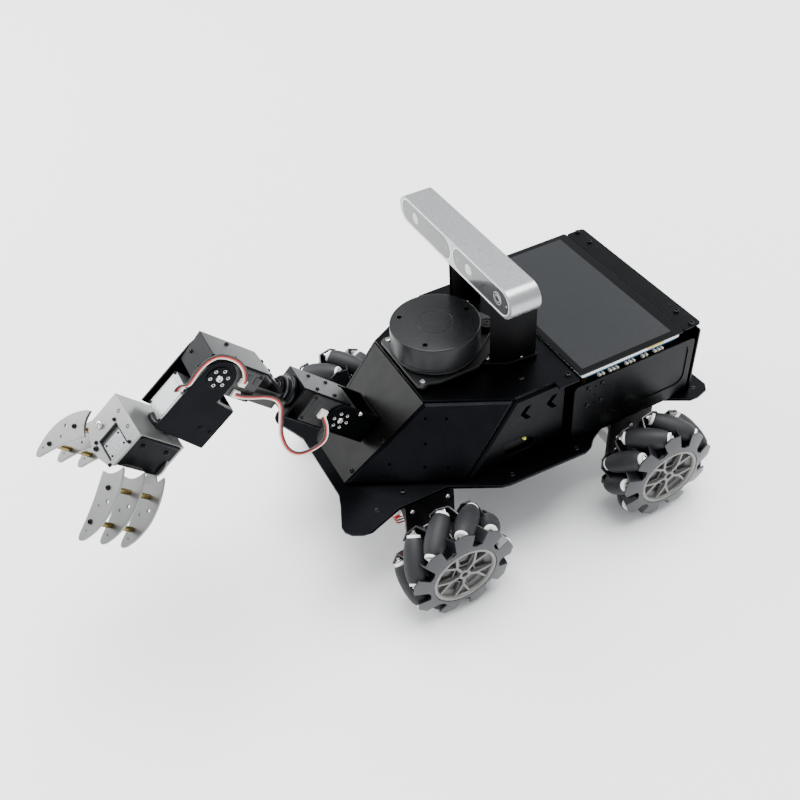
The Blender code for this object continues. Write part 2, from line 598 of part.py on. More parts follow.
def build_arm(frame):
    black = (BLACK_METAL, 0.38, 0.5)
    case = ((0.03, 0.031, 0.034), 0.4)
    wall = EAR_OUT - EAR_IN

    # Mount: two ears on a foot that sits on the sloped front panel
    stand = pivot("arm_stand", frame, SHOULDER, (0, -UPPER_ANGLE, 0))
    foot_low, foot_high = -0.0338, -0.0315
    mount = part("arm_mount", block((foot_low, foot_high), (-EAR_OUT, EAR_OUT), (-0.013, 0.013)),
                 black, stand)
    ears = bmesh.new()
    for y in (-EAR_OUT, EAR_IN):
        add_prism(ears, ear_outline(foot_low / MM), -y - wall, -y, frame=UPRIGHT_XZ)
    boolean(mount, part("arm_ears_guide", ears, None, stand, guide=True), "UNION")

    # Upper link, first half: a folded bracket around the shoulder servo
    shoulder = pivot("shoulder_axis", frame, SHOULDER, (0, -UPPER_ANGLE, 0))
    yoke_outline = scaled([(-3, 12.7), (44, 12.7), (44, -12.7), (8, -12.7), (8, -14.2), (46, -14.2),
                           (46, 14.2), (-3, 14.2)])
    part("shoulder_bracket", prism(yoke_outline, -0.0145, 0.0145, frame=UPRIGHT_XZ), black, shoulder)
    servo("shoulder_servo", case, shoulder, (0, 0, 0), (pi / 2, 0, 0))

    # Upper link, second half: turns about the link's own length
    roll = pivot("roll_axis", shoulder)
    drum_start, body_start, body_end = 0.0463, 0.0570, 0.0812
    neck = turned([(0, drum_start), (0.0115, drum_start), (0.0115, 0.0500), (0.0065, 0.0503),
                   (0.0065, body_start + 0.001), (0, body_start + 0.001)], 20,
                  Matrix.Rotation(pi / 2, 4, "Y"))
    roller = part("roll_servo", block((body_start, body_end), (-0.0123, 0.0123), (-0.0120, 0.0015), 0.002),
                  case, roll)
    boolean(roller, part("roll_neck_guide", neck, None, roll, guide=True), "UNION")
    elbow_x = UPPER_LENGTH
    hood = scaled([(129.3, -10.5), (129.3, 14.4), (80.5, 14.4), (58.5, 4.2), (59.3, 2.5),
                   (80.9, 12.65), (127.5, 12.65), (127.5, -10.5)])
    part("elbow_bracket", prism(hood, -0.0145, 0.0145, frame=UPRIGHT_XZ), black, roll)
    servo("elbow_servo", case, roll, (elbow_x, 0, 0), (pi / 2, 0, pi))

    # Forearm: a U-shaped link on the elbow's horns, with the wrist servo inside
    elbow = pivot("elbow_axis", roll, (elbow_x, 0, 0), (0, UPPER_ANGLE - FOREARM_ANGLE, 0))
    side = scaled(arc((0, 0), 13, 90, 270, 8) + [(17, -13), (18, -30), (54, -30), (54, 13)])
    plates = []
    for y in (-EAR_OUT, EAR_IN):
        plates.append((y, prism(side, -y - wall, -y, frame=UPRIGHT_XZ)))
    link = part("forearm_link", plates[0][1], black, elbow)
    bridge = block((0.0520, 0.0540), (-EAR_IN - 0.001, EAR_IN + 0.001), (-0.030, -0.0130))
    boolean(link, part("forearm_plate_guide", plates[1][1], None, elbow, guide=True), "UNION")
    boolean(link, part("forearm_bridge_guide", bridge, None, elbow, guide=True), "UNION")
    wrist_servo = part("wrist_servo", block((0.0205, 0.0515), (-0.0123, 0.0123), (-0.0290, 0.0100), 0.002),
                       ((0.5, 0.51, 0.53), 0.35, 0.7), elbow)
    output = turned([(0, 0.0505), (0.0060, 0.0505), (0.0060, 0.0545), (0, 0.0545)], 16,
                    Matrix.Rotation(pi / 2, 4, "Y"))
    boolean(wrist_servo, part("wrist_output_guide", output, None, elbow, guide=True), "UNION")
    build_gripper(elbow)
    for name, route in LEADS.items():
        lead(name, [Vector(place) * MM for place in route], LEAD_RADIUS, (0.75, 0.72, 0.7), shoulder)


def claw_outline():
    """One side's claw plate; its root is an arc about the jaw's pivot."""
    px, py = JAW_PIVOT[0] / MM, JAW_PIVOT[1] / MM
    root = arc((px, py), 16.5, 86, 17, 5)
    inner = [(103, 21.8), (110, 26.2), (117, 30.2), (126, 34.6), (135.5, 38.6)]
    tip = [(137.8, 40.3), (137.6, 43.0)]
    outer = [(134, 45.2), (126, 47.2), (117, 47.8), (107, 46.4), (97, 42.4), (89, 37.2), (83, 31.8)]
    return scaled(root + inner + tip + outer)


def build_gripper(elbow):
    pale = ((0.42, 0.43, 0.44), 0.35, 0.6)
    wrist = pivot("wrist_axis", elbow, (0, 0, 0), (WRIST_ROLL, 0, 0))
    rear, plate_low, plate_high = 0.0576, -0.0122, 0.0280
    lid_half = scaled([(94.5, 0), (94.5, 6), (90.5, 18), (86.5, 21.5), (57.6, 21.5), (57.6, 0)])
    window = scaled(rectangle(68.5, 87.5, -3, 17))
    frame = part("gripper_frame", prism(mirrored(lid_half), plate_high, plate_high + JAW_SHEET, [window]),
                 pale, wrist)
    below = prism(mirrored(lid_half), plate_low, plate_low + JAW_SHEET)
    boolean(frame, part("gripper_floor_guide", below, None, wrist, guide=True), "UNION")
    back = block((rear, rear + JAW_SHEET), (-0.0215, 0.0215), (plate_low + 0.0005, plate_high + 0.0015))
    boolean(frame, part("gripper_back_guide", back, None, wrist, guide=True), "UNION")
    pins = turned([(0, 0.0549), (0.0095, 0.0549), (0.0095, rear + 0.001), (0, rear + 0.001)], 16,
                  Matrix.Rotation(pi / 2, 4, "Y"))
    for side, top in ((1, -0.0065), (-1, plate_high + 0.001)):
        add_turned(pins, [(0, plate_low + 0.001), (0.0022, plate_low + 0.001), (0.0022, top), (0, top)],
                   10, Matrix.Translation((JAW_PIVOT[0], side * JAW_PIVOT[1], 0)))
    boolean(frame, part("gripper_pins_guide", pins, None, wrist, guide=True), "UNION")
    part("gripper_servo", block((0.0615, 0.0880), (-0.0060, 0.0187), (-0.0060, plate_high - GAP), 0.001),
         ((0.03, 0.031, 0.034), 0.4), wrist)

    for label, side in (("left", 1), ("right", -1)):
        hinge = pivot("jaw_axis_" + label, wrist, (JAW_PIVOT[0], side * JAW_PIVOT[1], 0))
        home = Matrix.Translation((-JAW_PIVOT[0], -side * JAW_PIVOT[1], 0))
        low = JAW_LEVELS[0]
        hub = prism(circle(0.0120, count=24), low, low + JAW_SHEET, [circle(0.0026, count=10)])
        jaw = part("jaw_" + label, hub, pale, hinge)
        arm = scaled([(4, 6), (9, 2), (24, 6), (34, 20), (22, 26), (10, 20)])
        arm = [(x, side * y) for x, y in arm]
        claw = [(x, side * y) for x, y in claw_outline()]
        arm_guide = prism(arm, low + 0.0003, low + JAW_SHEET - 0.0003)
        boolean(jaw, part("jaw_arm_guide_" + label, arm_guide, None, hinge, guide=True), "UNION")
        claws = bmesh.new()
        posts = bmesh.new()
        for level in JAW_LEVELS:
            add_prism(claws, claw, level, level + JAW_SHEET, frame=home)
        for x, y in ((0.0984, 0.0312), (0.1230, 0.0390)):
            post = [(0, low + 0.001), (0.0024, low + 0.001), (0.0024, JAW_LEVELS[2] + 0.001),
                    (0, JAW_LEVELS[2] + 0.001)]
            add_turned(posts, post, 8, home @ Matrix.Translation((x, side * y, 0)))
        boolean(jaw, part("claws_guide_" + label, claws, None, hinge, guide=True), "UNION")
        boolean(jaw, part("posts_guide_" + label, posts, None, hinge, guide=True), "UNION")


def build_model():
    clear_scene()
    frame = pivot("chassis_frame", None, (CHASSIS_X, 0, CHASSIS_Z))
    build_body(frame)
    build_display(frame)
    build_inside(frame)
    for label, front, side in (("front_left", 1, 1), ("front_right", 1, -1),
                               ("rear_left", -1, 1), ("rear_right", -1, -1)):
        build_wheel(label, front, side, frame)
        build_motor(label, front, side, frame)
    build_rangefinder(frame)
    build_depth_camera(frame)
    build_arm(frame)


build_model()
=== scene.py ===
"""Looks of the four-wheel Mecanum robot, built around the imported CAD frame.

Local shapes are in millimetres, in frames taken from the CAD joints: the chassis frame (under the
turret, a little below the ground), the upper link, the forearm, the gripper and one per wheel.
"""

import json
import bpy
import bmesh
from math import cos, pi, radians, sin
from mathutils import Matrix, Vector


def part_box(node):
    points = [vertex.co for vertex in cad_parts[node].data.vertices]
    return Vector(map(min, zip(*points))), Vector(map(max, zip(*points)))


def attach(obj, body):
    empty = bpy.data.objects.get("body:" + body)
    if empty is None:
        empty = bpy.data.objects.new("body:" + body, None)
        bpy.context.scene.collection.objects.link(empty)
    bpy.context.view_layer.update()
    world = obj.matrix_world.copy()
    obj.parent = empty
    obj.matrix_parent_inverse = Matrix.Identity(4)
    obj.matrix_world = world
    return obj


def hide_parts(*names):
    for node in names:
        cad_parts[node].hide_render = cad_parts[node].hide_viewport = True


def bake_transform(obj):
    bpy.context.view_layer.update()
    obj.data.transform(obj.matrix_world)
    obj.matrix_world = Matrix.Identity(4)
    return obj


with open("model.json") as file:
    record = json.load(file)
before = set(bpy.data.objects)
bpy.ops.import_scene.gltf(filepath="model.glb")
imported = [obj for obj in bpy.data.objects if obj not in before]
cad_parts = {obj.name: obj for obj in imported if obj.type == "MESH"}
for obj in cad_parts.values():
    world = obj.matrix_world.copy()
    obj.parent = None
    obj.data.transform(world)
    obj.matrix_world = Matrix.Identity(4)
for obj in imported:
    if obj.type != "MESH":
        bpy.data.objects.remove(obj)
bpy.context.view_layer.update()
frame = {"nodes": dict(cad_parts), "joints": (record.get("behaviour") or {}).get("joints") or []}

MM = 0.001
UP = (0, 0, 1)


# ---------------------------------------------------------------- frames

def joint(name):
    return next(found for found in frame["joints"] if found["name"] == name)


def local(origin, along=(1, 0, 0), up=UP):
    """A frame in millimetres with X along and Z up, at an origin in metres."""
    x = Vector(along).normalized()
    z = (Vector(up) - x * x.dot(Vector(up))).normalized()
    turn = Matrix((x, z.cross(x), z)).transposed().to_4x4()
    return Matrix.Translation(Vector(origin)) @ turn @ Matrix.Scale(MM, 4)


TURRET = joint("turret_spin")["pos_m"]
ORIGIN_X, ORIGIN_Z = TURRET[0] - 0.057, TURRET[2] - 0.190
CHASSIS = local((ORIGIN_X, 0, ORIGIN_Z))
LINK = local(joint("shoulder_pitch")["pos_m"], joint("forearm_roll")["axis"], (-1, 0, 1))
ELBOW = joint("elbow_pitch")["pos_m"]
FOREARM = local(ELBOW, joint("wrist_roll")["axis"])
GRIPPER = local(ELBOW, joint("wrist_roll")["axis"], joint("jaw_left_swing")["axis"])
XZ = Matrix(((1, 0, 0, 0), (0, 0, -1, 0), (0, 1, 0, 0), (0, 0, 0, 1)))
YZ = Matrix(((0, 0, 1, 0), (1, 0, 0, 0), (0, 1, 0, 0), (0, 0, 0, 1)))


def move(x=0.0, y=0.0, z=0.0):
    return Matrix.Translation((x, y, z))


def aim(place, axis):
    """A frame at a place whose Z is the axis."""
    return Matrix.Translation(Vector(place)) @ Vector(axis).to_track_quat("Z", "Y").to_matrix().to_4x4()


# ---------------------------------------------------------------- materials

def add(nodes, kind, **settings):
    node = nodes.new(kind)
    for key, value in settings.items():
        if hasattr(node, key):
            setattr(node, key, value)
        else:
            node.inputs[key.replace("_", " ")].default_value = value
    return node


def surface(name, colour, roughness, metallic=0.0, grain=900, depth=0.00002, tint=0.12, wear=0.08,
            stretch=(1, 1, 1), coat=0.0, coat_roughness=0.1, specular=0.5):
    """A moulded, painted or metal finish: mottled colour and roughness, and a fine bumpy grain."""
    made = bpy.data.materials.new(name)
    made.use_nodes = True
    nodes, links = made.node_tree.nodes, made.node_tree.links
    shader = nodes["Principled BSDF"]
    shader.inputs["Metallic"].default_value = metallic
    shader.inputs["Coat Weight"].default_value = coat
    shader.inputs["Coat Roughness"].default_value = coat_roughness
    shader.inputs["Specular IOR Level"].default_value = specular
    where = nodes.new("ShaderNodeTexCoord")
    mapping = nodes.new("ShaderNodeMapping")
    mapping.inputs["Scale"].default_value = stretch
    links.new(where.outputs["Object"], mapping.inputs["Vector"])

    broad = add(nodes, "ShaderNodeTexNoise", Scale=55.0, Detail=4.0, Roughness=0.6)
    links.new(mapping.outputs["Vector"], broad.inputs["Vector"])
    ramp = nodes.new("ShaderNodeValToRGB")
    dark = tuple(channel * (1 - tint) for channel in colour)
    light = tuple(min(1.0, channel * (1 + tint)) for channel in colour)
    ramp.color_ramp.elements[0].color = (*dark, 1)
    ramp.color_ramp.elements[1].color = (*light, 1)
    ramp.color_ramp.elements[0].position = 0.35
    ramp.color_ramp.elements[1].position = 0.65
    links.new(broad.outputs["Fac"], ramp.inputs["Fac"])
    links.new(ramp.outputs["Color"], shader.inputs["Base Color"])

    fine = add(nodes, "ShaderNodeTexNoise", Scale=grain, Detail=3.0, Roughness=0.55)
    links.new(mapping.outputs["Vector"], fine.inputs["Vector"])
    spread = add(nodes, "ShaderNodeMapRange")
    spread.inputs["From Min"].default_value = 0.3
    spread.inputs["From Max"].default_value = 0.7
    spread.inputs["To Min"].default_value = max(0.02, roughness - wear)
    spread.inputs["To Max"].default_value = min(1.0, roughness + wear)
    links.new(fine.outputs["Fac"], spread.inputs["Value"])
    links.new(spread.outputs["Result"], shader.inputs["Roughness"])
    bump = add(nodes, "ShaderNodeBump", Strength=0.6, Distance=depth)
    links.new(fine.outputs["Fac"], bump.inputs["Height"])
    links.new(bump.outputs["Normal"], shader.inputs["Normal"])
    return made


sheet_black = surface("black_anodised", (0.0045, 0.0048, 0.0058), 0.32, 1.0, grain=2600, depth=0.00001)
# Lighter copy of the anodised black for the front panel: painted sheen where the light falls on its slope.
front_sheen_black = surface("black_anodised_front_sheen", (0.0125, 0.013, 0.0125), 0.38, 1.0, grain=2600, depth=0.00001)
bracket_black = surface("black_bracket", (0.0055, 0.006, 0.0072), 0.36, 1.0, grain=2600, depth=0.00001)
arch_black = surface("arch_black", (0.004, 0.004, 0.0045), 0.4, 0.9, grain=1500)
rubber = surface("roller_rubber", (0.010, 0.0105, 0.0125), 0.6, 0.0, grain=1400, depth=0.00005, wear=0.1,
                 specular=0.35)
hub_grey = surface("hub_dark_grey", (0.015, 0.016, 0.0195), 0.28, 0.4, grain=2200, depth=0.000003, coat=0.2,
                   tint=0.05, wear=0.04)
cap_grey = surface("cap_grey", (0.16, 0.16, 0.152), 0.38, 0.3, depth=0.00001)
# Darker copy of the cap grey for the dished back: painted shade in the recess behind the spokes.
cap_painted_shade = surface("cap_dish_painted_shade", (0.085, 0.085, 0.078), 0.45, 0.3, depth=0.00001)
bush_white = surface("bush_white", (0.80, 0.80, 0.79), 0.4, depth=0.000008, tint=0.03)
nickel = surface("nickel", (0.62, 0.61, 0.60), 0.2, 1.0, grain=1500, depth=0.000004, tint=0.06)
screw_black = surface("screw_black", (0.012, 0.012, 0.014), 0.28, 0.9, grain=1500, depth=0.000006)
# Near-black for openings: painted shade where the inside is seen.
painted_hole_shade = surface("painted_hole_shade", (0.003, 0.003, 0.003), 0.8, tint=0.02)
motor_can = surface("motor_can", (0.56, 0.56, 0.54), 0.33, 0.95, depth=0.00001,
                    stretch=(1, 0.1, 1))
glass_dark = surface("display_glass", (0.0015, 0.0016, 0.002), 0.06, grain=300, depth=0.000001, tint=0.02,
                     wear=0.02, specular=0.14)
screen_grey = surface("display_panel", (0.009, 0.010, 0.0115), 0.25, grain=300, depth=0.000001, tint=0.03,
                      wear=0.02, specular=0.3)
edge_white = surface("display_edge", (0.74, 0.76, 0.78), 0.35, 0.2, grain=800, depth=0.000005, tint=0.03)
board_blue = surface("board_blue", (0.012, 0.075, 0.16), 0.35, grain=2200, depth=0.00002, tint=0.25)
board_green = surface("board_green", (0.008, 0.09, 0.04), 0.35, grain=2200, depth=0.00002, tint=0.25)
battery_blue = surface("battery_wrap", (0.015, 0.04, 0.14), 0.35, grain=500, depth=0.00005)
turret_black = surface("turret_plastic", (0.006, 0.0066, 0.0074), 0.33, grain=2400, depth=0.000006,
                       specular=0.26)
base_black = surface("rangefinder_base", (0.006, 0.0065, 0.007), 0.42, grain=2400, specular=0.4)
belt_black = surface("belt_rubber", (0.008, 0.008, 0.008), 0.5, grain=2000)
camera_silver = surface("camera_silver", (0.36, 0.365, 0.375), 0.32, 0.9, grain=1500, depth=0.000002,
                        tint=0.02)
camera_rim = surface("camera_rim", (0.86, 0.86, 0.87), 0.3, 0.3, depth=0.000004, tint=0.02)
pane_grey = surface("camera_pane", (0.030, 0.031, 0.034), 0.12, grain=300, depth=0.000001, tint=0.06,
                    wear=0.02, coat=0.3, coat_roughness=0.03)
lens_black = surface("lens_black", (0.010, 0.011, 0.014), 0.07, grain=300, depth=0.000001, coat=0.8)
lens_milk = surface("lens_milk", (0.42, 0.43, 0.45), 0.15, grain=300, depth=0.000001, coat=0.5)
servo_black = surface("servo_case", (0.005, 0.0052, 0.006), 0.4, grain=2400, depth=0.00002)
servo_silver = surface("servo_silver", (0.20, 0.205, 0.215), 0.3, 0.75, grain=1500, depth=0.00001)
label_silver = surface("label_silver", (0.24, 0.245, 0.255), 0.24, 0.6, grain=700, depth=0.000004, tint=0.04)
label_yellow = surface("label_yellow", (0.60, 0.44, 0.03), 0.4, tint=0.08)
claw_grey = surface("gripper_grey", (0.20, 0.203, 0.20), 0.36, 0.8, grain=1700, depth=0.00001, tint=0.05)
brass = surface("brass", (0.20, 0.15, 0.055), 0.3, 1.0, grain=1500, depth=0.000003, tint=0.1)
wire_red = surface("wire_red", (0.62, 0.020, 0.015), 0.38, depth=0.00001)
wire_white = surface("wire_white", (0.80, 0.78, 0.74), 0.38, depth=0.00001, tint=0.04)
wire_black = surface("wire_black", (0.012, 0.012, 0.012), 0.38, depth=0.00001)
plug_white = surface("plug_white", (0.76, 0.74, 0.68), 0.4, depth=0.00001, tint=0.04)
lamp_yellow = surface("lamp_yellow", (0.70, 0.72, 0.10), 0.25, grain=500, coat=0.6)


# ---------------------------------------------------------------- outlines

def circle(radius, centre=(0, 0), count=32, start=0.0):
    return [(centre[0] + radius * cos(start + 2 * pi * k / count),
             centre[1] + radius * sin(start + 2 * pi * k / count)) for k in range(count)]


def arc(centre, radius, first, last, steps):
    """Points on an arc; angles in degrees."""
    return [(centre[0] + radius * cos(radians(first + (last - first) * k / steps)),
             centre[1] + radius * sin(radians(first + (last - first) * k / steps)))
            for k in range(steps + 1)]


def rectangle(x0, x1, y0, y1, corner=0.0, steps=4):
    if corner <= 0:
        return [(x0, y0), (x1, y0), (x1, y1), (x0, y1)]
    points = []
    for quarter, (cx, cy) in enumerate(((x1 - corner, y1 - corner), (x0 + corner, y1 - corner),
                                        (x0 + corner, y0 + corner), (x1 - corner, y0 + corner))):
        points += arc((cx, cy), corner, quarter * 90, quarter * 90 + 90, steps)
    return points


def pill(x0, x1, y, radius, steps=12):
    """A slot outline with round ends along X."""
    return arc((x1 - radius, y), radius, -90, 90, steps) + arc((x0 + radius, y), radius, 90, 270, steps)


def rounded(points, radius, steps=4):
    """Round every corner of an outline with an arc-like curve."""
    made = []
    for k, here in enumerate(points):
        corner = Vector(here)
        before, after = Vector(points[k - 1]) - corner, Vector(points[(k + 1) % len(points)]) - corner
        reach = min(radius, before.length * 0.45, after.length * 0.45)
        first, last = corner + before.normalized() * reach, corner + after.normalized() * reach
        for step in range(steps + 1):
            t = step / steps
            made.append(tuple(first * (1 - t) ** 2 + corner * (2 * t * (1 - t)) + last * t * t))
    return made


def smooth_line(points, spacing=1.0):
    """Evenly spaced points on a Catmull-Rom curve through given points."""
    knots = [Vector(p) for p in points]
    knots = [2 * knots[0] - knots[1]] + knots + [2 * knots[-1] - knots[-2]]
    fine = []
    for k in range(1, len(knots) - 2):
        a, b, c, d = knots[k - 1:k + 3]
        for step in range(24):
            t = step / 24
            fine.append(0.5 * (2 * b + (c - a) * t + (2 * a - 5 * b + 4 * c - d) * t * t
                               + (3 * b - a - 3 * c + d) * t ** 3))
    fine.append(knots[-2])
    route, travelled = [fine[0]], 0.0
    for k in range(1, len(fine)):
        travelled += (fine[k] - fine[k - 1]).length
        if travelled >= spacing or k == len(fine) - 1:
            route.append(fine[k])
            travelled = 0.0
    return route


# ---------------------------------------------------------------- solids

def prism(bm, outline, low, high, holes=(), at=Matrix(), look=0):
    """Extrude a flat outline with holes from low to high along Z of the frame at."""
    edges = []
    for loop in [outline, *holes]:
        verts = [bm.verts.new((x, y, low)) for x, y in loop]
        edges += [bm.edges.new((verts[k - 1], verts[k])) for k in range(len(verts))]
    if holes:
        filled = bmesh.ops.triangle_fill(bm, use_beauty=True, use_dissolve=False, edges=edges)
        faces = [item for item in filled["geom"] if isinstance(item, bmesh.types.BMFace)]
    else:
        faces = [bm.faces.new(verts)]
    grown = bmesh.ops.extrude_face_region(bm, geom=faces, use_keep_orig=True)
    top = [item for item in grown["geom"] if isinstance(item, bmesh.types.BMVert)]
    bmesh.ops.translate(bm, verts=top, vec=(0, 0, high - low))
    verts = list({vert for edge in edges for vert in edge.verts} | set(top))
    made = list({face for vert in verts for face in vert.link_faces})
    for face in made:
        face.material_index = look
    bmesh.ops.transform(bm, matrix=at, verts=verts)
    bmesh.ops.recalc_face_normals(bm, faces=made)


def side_prism(bm, outline, side, near, far, look=0):
    """Extrude an outline in X and Z between two distances from the middle, on one side."""
    prism(bm, outline, *sorted((-side * near, -side * far)), at=XZ, look=look)


def turned(bm, profile, sides=32, at=Matrix(), look=0, sweep=None):
    """Turn a (radius, height) profile about Z; radius 0 makes a pole. A profile with no poles closes."""
    rings, made = [], []
    for radius, height in profile:
        if radius == 0:
            rings.append([bm.verts.new(at @ Vector((0, 0, height)))])
            continue
        ring = circle(radius, count=sides) if sweep is None else sweep(radius, sides)
        rings.append([bm.verts.new(at @ Vector((x, y, height))) for x, y in ring])
    closed = profile[0][0] > 0 and profile[-1][0] > 0
    for index in range(len(rings) if closed else len(rings) - 1):
        low, high = rings[index], rings[(index + 1) % len(rings)]
        for k in range(sides):
            n = (k + 1) % sides
            corners = [low[k % len(low)], low[n % len(low)], high[n % len(high)], high[k % len(high)]]
            corners = list(dict.fromkeys(corners))
            if len(corners) > 2:
                made.append(bm.faces.new(corners))
    for face in made:
        face.material_index = look
    bmesh.ops.recalc_face_normals(bm, faces=made)


def tube(bm, route, radius, sides=10, at=Matrix(), look=0, shift=None):
    """A round tube along a route, with flat ends; shift gives each point an offset in its own frame."""
    rings, made = [], []
    across = None
    for k, point in enumerate(route):
        before, after = route[max(k - 1, 0)], route[min(k + 1, len(route) - 1)]
        along = (after - before).normalized()
        if across is None:
            across = along.orthogonal().normalized()
        across = (across - along * along.dot(across)).normalized()
        other = along.cross(across)
        centre = point + (shift(k) if shift else Vector())
        rings.append([bm.verts.new(at @ (centre + radius * (across * cos(t) + other * sin(t))))
                      for t in (2 * pi * n / sides for n in range(sides))])
    for low, high in zip(rings, rings[1:]):
        for k in range(sides):
            n = (k + 1) % sides
            made.append(bm.faces.new([low[k], low[n], high[n], high[k]]))
    made += [bm.faces.new(rings[0][::-1]), bm.faces.new(rings[-1])]
    for face in made:
        face.material_index = look
    bmesh.ops.recalc_face_normals(bm, faces=made)


def dome(radius, low, high, edge, foot=0.0):
    """Profile of a disc or stud whose top edge is rounded."""
    curve = [(radius - edge + edge * cos(radians(a)), high - edge + edge * sin(radians(a)))
             for a in (0, 22, 45, 68, 90)]
    return [(0, low), (radius - foot, low), *([(radius, low + foot)] if foot else []), *curve, (0, high)]


def knurled(radius, sides):
    """A ring whose every other point is drawn in, as on a small nut."""
    return [(radius * (1.0 if k % 2 == 0 else cos(pi / 6)) * cos(2 * pi * k / sides),
             radius * (1.0 if k % 2 == 0 else cos(pi / 6)) * sin(2 * pi * k / sides)) for k in range(sides)]


SCREW_SIDES = 24


def screw(bm, place, axis, radius, height=None, look=0):
    """A button-head screw with a recess; its seat is at place."""
    height = height or radius * 0.75
    at = aim(place, axis)
    turned(bm, [(0, -0.2), (radius, -0.2), (radius, height * 0.25), (radius * 0.93, height * 0.62),
                (radius * 0.76, height * 0.92), (radius * 0.52, height), (radius * 0.50, height),
                (radius * 0.46, height * 0.35), (0, height * 0.35)], SCREW_SIDES, at, look)


def flush_ring(bm, place, axis, radius, look=0):
    """A dark countersunk hole or a small pressed nut seen as a ring."""
    at = aim(place, axis)
    turned(bm, [(radius, -0.3), (radius, 0.12), (radius * 0.86, 0.22), (radius * 0.62, 0.12),
                (radius * 0.55, -0.3)], SCREW_SIDES, at, look)


# ---------------------------------------------------------------- pieces

def soften(made, width, segments=2, angle=30, harden=True):
    """Round the edges that are sharper than an angle; the width is in millimetres."""
    edges = made.modifiers.new("edges", "BEVEL")
    edges.width = width * MM
    edges.segments = segments
    edges.limit_method = "ANGLE"
    edges.angle_limit = radians(angle)
    edges.harden_normals = harden


def cut_away(made, shape):
    cut = made.modifiers.new("cut", "BOOLEAN")
    cut.operation = "DIFFERENCE"
    cut.object = shape


def finish_mesh(made, looks, bevel, segments, angle=30):
    for look in looks:
        made.data.materials.append(look)
    made.data.shade_smooth()
    made.data.set_sharp_from_angle(angle=radians(angle))
    if bevel:
        soften(made, bevel, segments, angle)


def add_object(name, data):
    made = bpy.data.objects.new(name, data)
    bpy.context.collection.objects.link(made)
    return made


def solid(name, bm, space):
    """An object whose mesh is a bmesh moved into a frame."""
    bm.transform(space)
    mesh = bpy.data.meshes.new(name)
    bm.to_mesh(mesh)
    bm.free()
    return add_object(name, mesh)


def piece(name, bm, space, body, looks, bevel=0.0, segments=2, replaces=(), angle=30):
    """Turn a bmesh, modelled in millimetres in a frame, into a piece that rides on a body."""
    made = solid(name, bm, space)
    looks = looks if isinstance(looks, (list, tuple)) else [looks]
    finish_mesh(made, looks, bevel, segments, angle)
    if body:
        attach(made, body)
    if replaces:
        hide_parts(*replaces)
    return made


def chassis_piece(name, bm, looks, bevel=0.0, segments=2):
    return piece(name, bm, CHASSIS, "chassis", looks, bevel, segments)


def dress(node, look, bevel=0.25, holes=None, segments=2):
    """Give a CAD node its finish, cut-outs and softened edges, as modifiers on the CAD mesh."""
    made = frame["nodes"][node]
    made.data.materials.clear()
    made.data.materials.append(look)
    made.data.shade_smooth()
    weld = made.modifiers.new("weld", "WELD")
    weld.merge_threshold = 0.00001
    flat = made.modifiers.new("flat", "DECIMATE")
    flat.decimate_type = "DISSOLVE"
    flat.angle_limit = radians(1)
    if holes:
        cut_away(made, holes)
    soften(made, bevel, segments, harden=False)
    even = made.modifiers.new("even", "WEIGHTED_NORMAL")
    even.weight = 100
    made.data.set_sharp_from_angle(angle=radians(30))
    return made


def cutter(name, bm, space, body):
    """A hidden shape that a Boolean modifier takes away."""
    made = piece(name, bm, space, body, painted_hole_shade)
    made.hide_render = True
    made.display_type = "WIRE"
    return made


# ---------------------------------------------------------------- body

PLATE_TOP, DECK_TOP, SIDE_Y = 105.0, 174.2, 84.0
STRIP_TOP = 176.4
NEAR_AND_FAR = ((1, "left"), (-1, "right"))


def outer_face(node, towards):
    """A point on a CAD node's largest face that looks towards a direction, and its normal, in mm."""
    mesh = frame["nodes"][node].data
    seen = [face for face in mesh.polygons if face.normal.dot(Vector(towards)) > 0.3]
    best = max(seen, key=lambda face: face.area)
    return CHASSIS.inverted() @ best.center, best.normal.copy()


def onto(place, point, normal):
    """Drop a place along a plane's normal onto the plane."""
    place = Vector(place)
    return place - normal * (place - point).dot(normal)


def build_sheets():
    dress("base_plate", sheet_black, 0.6, segments=3)
    dress("deck", sheet_black, 0.4)
    dress("rear_panel", sheet_black, 0.4)
    # The front panel's lighter black is painted sheen.
    dress("front_panel", front_sheen_black, 0.45)
    cheek_holes = ((93, 46, 160), (79, 54, 159.5), (97, 51, 139), (101, 56, 119), (85, 65, 118),
                   (125, 42, 122.5))
    for side, label in NEAR_AND_FAR:
        point, normal = outer_face("cheek_" + label, (0.5, side, 0))
        holes = bmesh.new()
        for x, y, z in cheek_holes:
            spot = aim(onto((x, side * y, z), point, normal), normal)
            prism(holes, circle(1.25, count=20), -4, 2, at=spot)
        for step in (-3.2, 0, 3.2):
            spot = aim(onto((128 - step, side * (43.6 + step), 112), point, normal), normal)
            prism(holes, pill(-1.1, 1.1, 0, 0.45, 5), -4, 2, at=spot)
        dress("cheek_" + label, sheet_black, 0.45, cutter("cheek_holes_" + label, holes, CHASSIS, "chassis"))

        cuts = bmesh.new()
        for x in (22, -2):
            chevron = [(x + 4.6, 155), (x - 0.4, 161.6), (x - 4.8, 161.6), (x + 0.4, 155),
                       (x - 4.8, 148.4), (x - 0.4, 148.4)]
            side_prism(cuts, chevron, side, 60, 110)
        window = rounded([(42, 129), (20, 129), (12, 121), (16, 115), (38, 115)], 3)
        side_prism(cuts, window, side, 60, 110)
        dress("flank_" + label, sheet_black, 0.45, cutter("flank_cuts_" + label, cuts, CHASSIS, "chassis"))

        pocket = bmesh.new()
        side_prism(pocket, rectangle(-131, -57, 119, 163, 9), side, SIDE_Y - 0.8, SIDE_Y + 2)
        for z in (141.7, 150.5, 159.5):
            side_prism(pocket, circle(0.9, (-38.5, z), 12), side, 70, 90)
        dress("side_wall_" + label, sheet_black, 0.45,
              cutter("side_pocket_" + label, pocket, CHASSIS, "chassis"))


